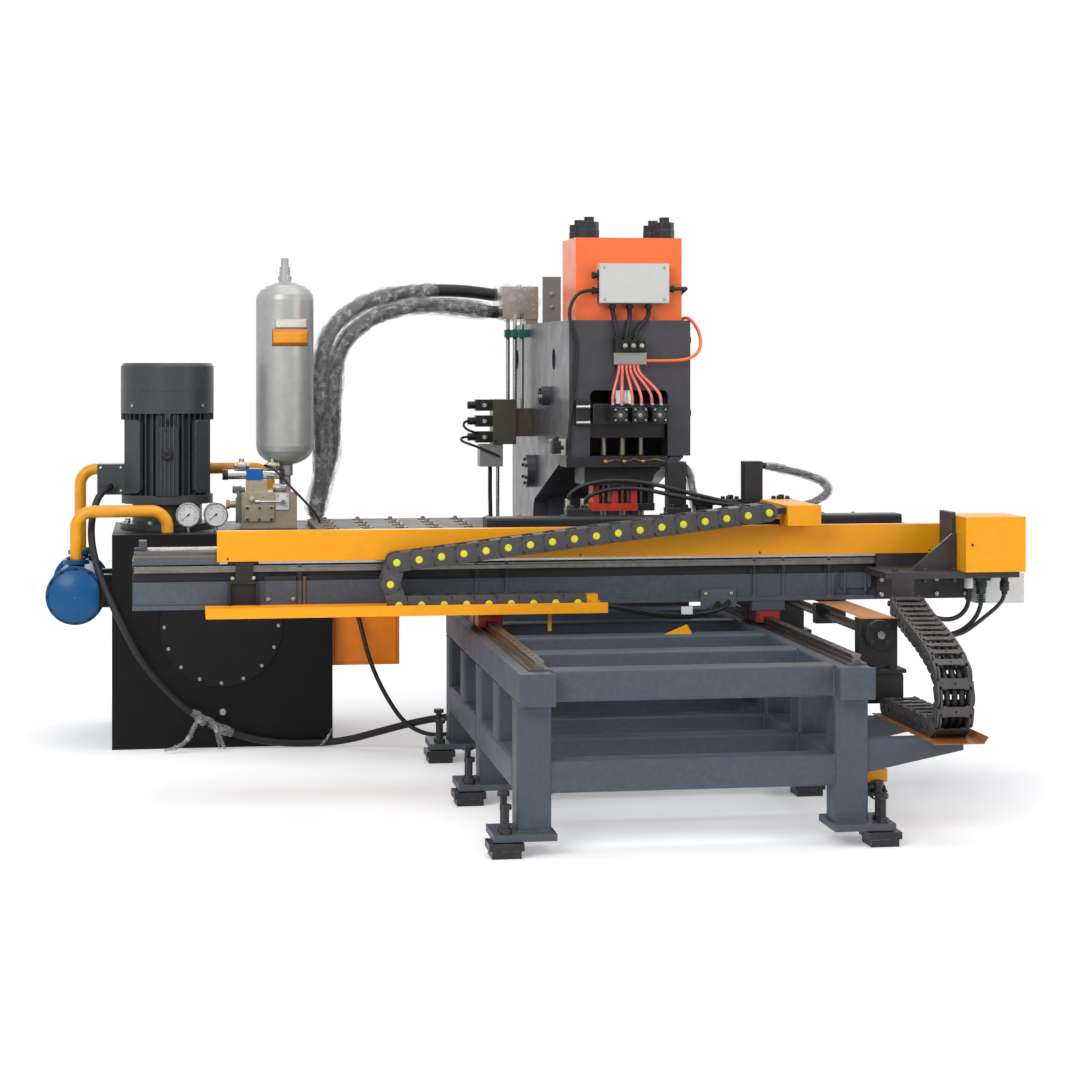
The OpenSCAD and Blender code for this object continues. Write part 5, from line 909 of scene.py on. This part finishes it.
# clamp cylinders: short flanged cylinders with bolts, standing on the clamp carriage's tube
cylinders = [(178, -555), (270, -555), (447, -560)]
build("clamp_cylinders", m_black, "carriage", "dark_metal", 0.6,
      ("revolve", [(x, y, 872.3) for x, y in cylinders], UP,
       ((0.1, 0), (30, 0), (30, 30), (38, 32), (38, 50), (36, 52), (0.1, 52)), 36),
      ("bolt", sum((around((x, y, 924), "z", 5, 26, 0.4) for x, y in cylinders), []), UP, 13, 9),
      ("rod", [(x, y, 924) for x, y in cylinders], UP, 10, 14, 20, 2))


def sticker(x, y, r, z0, z1, t0, t1):
    """A patch of a cylinder's side: p = (x + r sin t, y - r cos t, z)."""
    t, z = np.meshgrid(np.linspace(t0, t1, 25), np.linspace(z0, z1, 5), indexing="ij")
    return np.stack([x + r * np.sin(t), y - r * np.cos(t), z], -1).reshape(-1, 3), flipped(grid(25, 5, closed=False))


for name, z0, z1, t0, t1, material in (("vessel_sticker", 1450, 1513, -0.50, 0.88, m_sticker),
                                       ("vessel_sticker_top", 1513, 1552, -0.40, 0.82, m_sticker_pale)):
    o = piece(name, *sticker(-1190, 550, 108.7, z0, z1, t0, t1), material, "base")
    thick = o.modifiers.new("thick", "SOLIDIFY")
    thick.thickness = 0.0005
    thick.offset = 0.0

# front plate and rail of the cross beam, and a small amber gusset on a cross rail
build("beam_apron", m_beam, "beam", "slate_paint", 0.6, ("box", (-1736, -823, 616), (560, -817, 690)))
build("beam_front_rail", m_rail, "beam", None, 0.6,
      ("box", (-1735, -829, 720), (900, -812, 734)),
      ("box", (-1735, -826, 734), (900, -814, 741)))
build("amber_gusset", m_amber, "base", "amber_paint", 0.6,
      ("prism", [((-60, 515.5), (35, 515.5), (34, 523), (20, 548))], -1006, -998, lambda u, v, w: (u, w, v)))

# pins with ring ends at the dark block on the press front
build("press_pins", m_chrome, "base", "chrome", 0.4,
      ("rod", (-199, -179, (1176, 1232)), RIGHT, 5.5, 44, 20, 1),
      ("rod", (-156, -179, (1176, 1232)), RIGHT, 8.5, 7, 20, 1.5))


def bag(low, high, seed):
    """A crumpled closed shell: a rounded box |x|^4 + |y|^4 + |z|^4 = 1 scaled by 1 + 0.03 * |a sum of 14 sines|."""
    rng = np.random.default_rng(seed)
    rows, cols = 56, 96
    t, p = np.meshgrid(np.linspace(0.02, math.pi - 0.02, rows), np.linspace(0, 2 * math.pi, cols, endpoint=False),
                       indexing="ij")
    d = np.stack([np.sin(t) * np.cos(p), np.sin(t) * np.sin(p), np.cos(t)], -1)
    fold = sum(rng.uniform(0.3, 1.0) * np.sin(d @ rng.uniform(-8, 8, 3) + rng.uniform(0, 6.28)) for _ in range(14))
    r = (1 + 0.03 * np.abs(fold)) / (np.abs(d) ** 4).sum(-1) ** 0.25
    c, h = (np.array(low) + high) / 2, (np.array(high) - low) / 2
    return (c + d * r[..., None] * h).reshape(-1, 3), flipped(grid(rows, cols) + lids(rows, cols))


piece("manifold_film", *bag((-342, 868, 1556), (-170, 972, 1694), 4), m_film_bag, "base")

# fan cowl band and screws, flat panels on the motor's two front corners, its plug and front fins
build("cowl_band", m_motor, "base", "dark_metal", 0, ("ring", (*MOTOR[:2], 1284), UP, 170.5, 173.8, 3, 64))


def panel(shape, angle, r, half, thick, z0, z1, cut):
    """A flat panel with bevelled ends, standing off the motor's fins at radius r and facing the given direction."""
    out = np.array((math.cos(math.radians(angle)), math.sin(math.radians(angle)), 0.0))
    side = np.array((-out[1], out[0], 0.0))
    centre = np.array((*MOTOR[:2], 0))
    outline = [(-half, z0 + cut), (cut - half, z0), (half - cut, z0), (half, z0 + cut), (half, z1 - cut),
               (half - cut, z1), (cut - half, z1), (-half, z1 - cut)]
    shape.prism(outline, r, r + thick, lambda u, v, w: centre + side * u + out * w + np.array((0, 0, v)))


panels = Shape()
for angle in (220, 320):
    panel(panels, angle, 150, 40, 18, 905, 1176, 12)
panels.make("motor_panels", m_motor, "base", "dark_metal", 2)
build("motor_plug", m_black, "base", "dark_metal", 0,
      ("revolve", (MOTOR[0], 369, 1049), FRONT, ((0.1, 0), (21, 0), (19, 7), (10, 8), (9, 4), (0.1, 4)), 32))
facing = [(math.cos(math.radians(angle)), math.sin(math.radians(angle))) for angle in (222, 318)]
build("cowl_screws", m_zinc, "base", "chrome", 0.3,
      *(("bolt", (MOTOR[0] + 171.8 * u, MOTOR[1] + 171.8 * w, 1229), (u, w, 0), 12, 4, True) for u, w in facing))
build("motor_front_fins", m_motor, "base", "dark_metal", 0.8,
      *(("box", (-1668 + 15.2 * k, 368, 899), (-1664 + 15.2 * k, 379, 1194)) for k in range(6)))

# fittings on the blue valve and on the block under it
build("valve_fittings", m_zinc, "base", "chrome", 0.4,
      ("rod", ((-1372, -1258), 485, 1003), RIGHT, 16.5, 36, 28, 2),
      ("rod", ((-1381, -1267), 485, 1003), RIGHT, 12.5, 54, 6, 1),
      ("rod", ((-1354, -1240), 485, 1012), UP, 9.5, 18, 24, 1),
      ("rod", (-1240, 456, 921), RIGHT, 15.5, 52, 28, 2),
      ("rod", (-1230, 456, 921), RIGHT, 18.5, 20, 6, 1))

# end switch beside the press front, on its bracket
build("switch_bracket", m_zinc, "base", "chrome", 0.5, ("box", (-292, -151, 1060), (-219, -147, 1118)))
build("end_switch", m_black, "base", "dark_metal", 1.4,
      ("box", (-286, -184, 1066), (-254, -151, 1112)),
      ("box", (-282, -188, 1070), (-258, -184, 1108)),
      ("rod", (-270, -168, 1112), UP, 9, 14, 20, 1),
      ("rod", (-262, -168, 1088), RIGHT, 7, 20, 20))


# ---------- materials on the CAD pieces
m_bed = surface("bed_paint", (42, 41, 42), 0.38, 0.2, 0.14, ROUGH_CAST, wear=0.5, dirt=0.2, zones=[
    (500, 620, -BIG, BIG, 593.5, 600, (214, 150, 98), 0.0, 0.4)])
m_lube = surface("lubricator_body", AMBER, 0.36, 0.0, 0.06, (40.0, 0.05, 240.0), zones=[
    (369, 450, -1745, -1680, 110, 160, (150, 150, 146), 0.7, 0.35),
    (400, 440, -1760, -1739, 120, 155, *TRIM)])
m_bearing = surface("bearing_steel", (150, 147, 142), 0.32, 1.0, 0.14, CAST, zones=[
    (-660, 400, -BIG, BIG, 569.5, 603, SLATE, 0.0, 0.42),
    (500, 640, -BIG, BIG, 500, 603, (46, 46, 48), 0.2, 0.4),
    *((-660, 400, y0, y1, 525, 570, RED, 0.0, 0.4)
      for y0, y1 in ((-833, -824.5), (-735.5, -728), (-703, -695), (-607, -598)))])
m_cover = surface("cover_paint", AMBER, 0.34, 0.0, 0.03, GLOSS, coat=0.08, spec=0.25)
m_manifold = surface("side_manifold", (86, 80, 66), 0.34, 0.5, 0.12, CAST, zones=[
    (-480, -376, 690, 810, 1070, 1250, BLACK, 0.1, 0.38),
    (-430, -330, 700, 800, 982, 1070, (146, 148, 146), 0.2, 0.4),
    (-320, -232, 802, 960, 1096, 1480, *PIPE),
    (-320, -232, 802, 960, 1520, 1559, *PIPE),
    (-320, -219, 808, 962, 1487, 1519, (20, 96, 82), 0.0, 0.4),
    (-360, -340, 740, 780, 150, 982, *PIPE),
    (-335, -165, 870, 970, 1541, 1700, (172, 170, 160), 0.9, 0.32)])
m_hpu = surface("power_manifold", (176, 162, 140), 0.36, 0.55, 0.1, (60.0, 0.06, 380.0), wear=0.3, zones=[
    (-1700, -1400, 200, 420, 700, 900, (196, 197, 199), 1.0, 0.18),
    (-1338, -1275, 449, 521, 949.5, 993, (16, 96, 172), 0.0, 0.32),
    *((x0, x1, 460, 510, 945, 995, *PORT) for x0, x1 in ((-1406, -1338), (-1275, -1214))),
    *((x0, x1, 460, 510, 945, 995, *TRIM) for x0, x1 in ((-1440, -1405), (-1214, -1190))),
    (-1229.5, -1179.5, 427, 439.9, 839, 901, (226, 226, 222), 0.0, 0.35)])
m_die = surface("die_metal", (44, 44, 46), 0.36, 0.4, 0.12, CAST, wear=0.6, zones=[
    (-110, 110, -40, 40, 785.9, 800, (170, 168, 164), 1.0, 0.28)])
m_ram = surface("ram_metal", (52, 50, 52), 0.34, 0.5, 0.12, CAST, wear=0.6, zones=[
    (-90, 90, -40, 40, 800, 1119.8, (150, 142, 132), 0.9, 0.32),
    (-80, 80, -80, 80, 1242.2, 1800, (206, 206, 208), 1.0, 0.14)])
m_servo = surface("servo_body", (30, 30, 32), 0.36, 0.2, 0.1, CAST, zones=[
    (1024, 1200, -905, -785, 585, 692, (228, 228, 226), 0.0, 0.4),
    (985, 1040, -1030, -980, 600, 689, (44, 52, 44), 0.0, 0.4),
    (940, 980, -1030, -980, 652, 689, (206, 200, 190), 0.0, 0.4)])
m_cooler = surface("cooler_paint", (8, 80, 132), 0.34, 0.0, 0.1, (25.0, 0.05, 200.0), coat=0.08, wear=0.3, spec=0.25,
                   zones=[(-1871, -1824, -BIG, BIG, 480, 620, *FITTING)])
m_hatch = surface("hatch_paint", (24, 24, 25), 0.42, 0.0, 0.12, FLAT, spec=0.15, zones=[
    (-BIG, BIG, 160, 176.8, 0, 760, (150, 148, 142), 0.9, 0.32)])
m_box = surface("chain_box_paint", AMBER, 0.34, 0.0, 0.04, GLOSS, coat=0.08, spec=0.25, zones=[
    (280, 363.9, -960, -860, 860, 940, (44, 44, 46), 0.2, 0.4)])
m_controls = surface("press_controls_metal", (206, 206, 203), 0.36, 0.1, 0.03, (25.0, 0.03, 300.0), zones=[
    (-67, 53, -191, -149, 1380, 1424.8, (148, 146, 140), 0.9, 0.34),
    (-67, 53, -215, -149, 1424.8, 1481, (32, 32, 34), 0.2, 0.38),
    (-100, 130, -160, -100, 1560, 1600, *FITTING),
    *((x0, x0 + 24, -150, -110, 1600, 1720, *FITTING) for x0 in (-136, 142))])
m_trim = surface("inner_press", (70, 69, 76), 0.34, 0.0, 0.1, SATIN, wear=0.4, coat=0.08, dirt=0.15, zones=[
    (-215, -140, 495, 515, 1541, 1720, (128, 128, 130), 0.2, 0.4)])

DRESS = {
    "frame_posts frame_side_rails frame_cross_rails": m_slate,
    "leveling_feet tie_rods guide_plate carriage clamp_bodies": m_dark,
    "clamp_jaw_1 clamp_jaw_2 clamp_jaw_3 fan_rotor lubricator_wheel": m_dark,
    "y_screw x_screw selector_1 selector_2 selector_3": m_steel,
    "motor_housing fan_cowl": m_motor, "gutter servo_cover": m_amber, "manifold_lever": m_chrome,
    "y_guide_rails": m_rail, "y_drive_bed": m_bed, "chain_tray": m_tray, "lubricator": m_lube,
    "press_side_plates": m_press, "press_inner_frame": m_trim, "front_housing": m_housing,
    "cylinder_block": m_orange, "stripper": m_stripper, "die_block": m_die, "press_controls": m_controls,
    "press_manifold": m_manifold, "ball_tables": m_table, "table_balls": m_balls, "tank": m_tank,
    "access_cover": m_hatch, "side_box": m_side, "oil_cooler": m_cooler, "cooler_pipes": m_ochre,
    "accumulator": m_silver, "hydraulic_controls": m_hpu, "x_beam": m_beam, "bearing_blocks": m_bearing,
    "beam_cover": m_cover, "servo_bracket": m_bracket, "servo_motor": m_servo, "chain_box": m_box,
    "ram": m_ram, "selector_cylinders": m_black,
}
for names, material in DRESS.items():
    for name in names.split():
        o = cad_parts[name]
        if not o.data.materials:
            o.data.materials.append(material)
        for slot in o.material_slots:
            slot.material = material


# ---------- floor
def floor_mesh():
    """A flat square 60 m wide, a hair under the feet: p(u, v) = (u, v, -0.5 mm) on a grid."""
    u = np.linspace(-30000, 30000, 7)
    return [(a, b, -0.5) for a in u for b in u], flipped(grid(7, 7, closed=False))


n = material_nodes("floor", {"Base Color": (0.95, 0.95, 0.955, 1.0), "Roughness": 0.9, "Specular IOR Level": 0.1,
                             "Emission Color": (1.0, 1.0, 1.0, 1.0), "Emission Strength": 0.25})
n.feed(n.shader.inputs["Alpha"], n.span(n.vector("LENGTH", [n.place], "Value"), 3.2, 6.5, 1.0, 0.0))
floor = piece("floor", *floor_mesh(), n.owner, None, smooth=False)
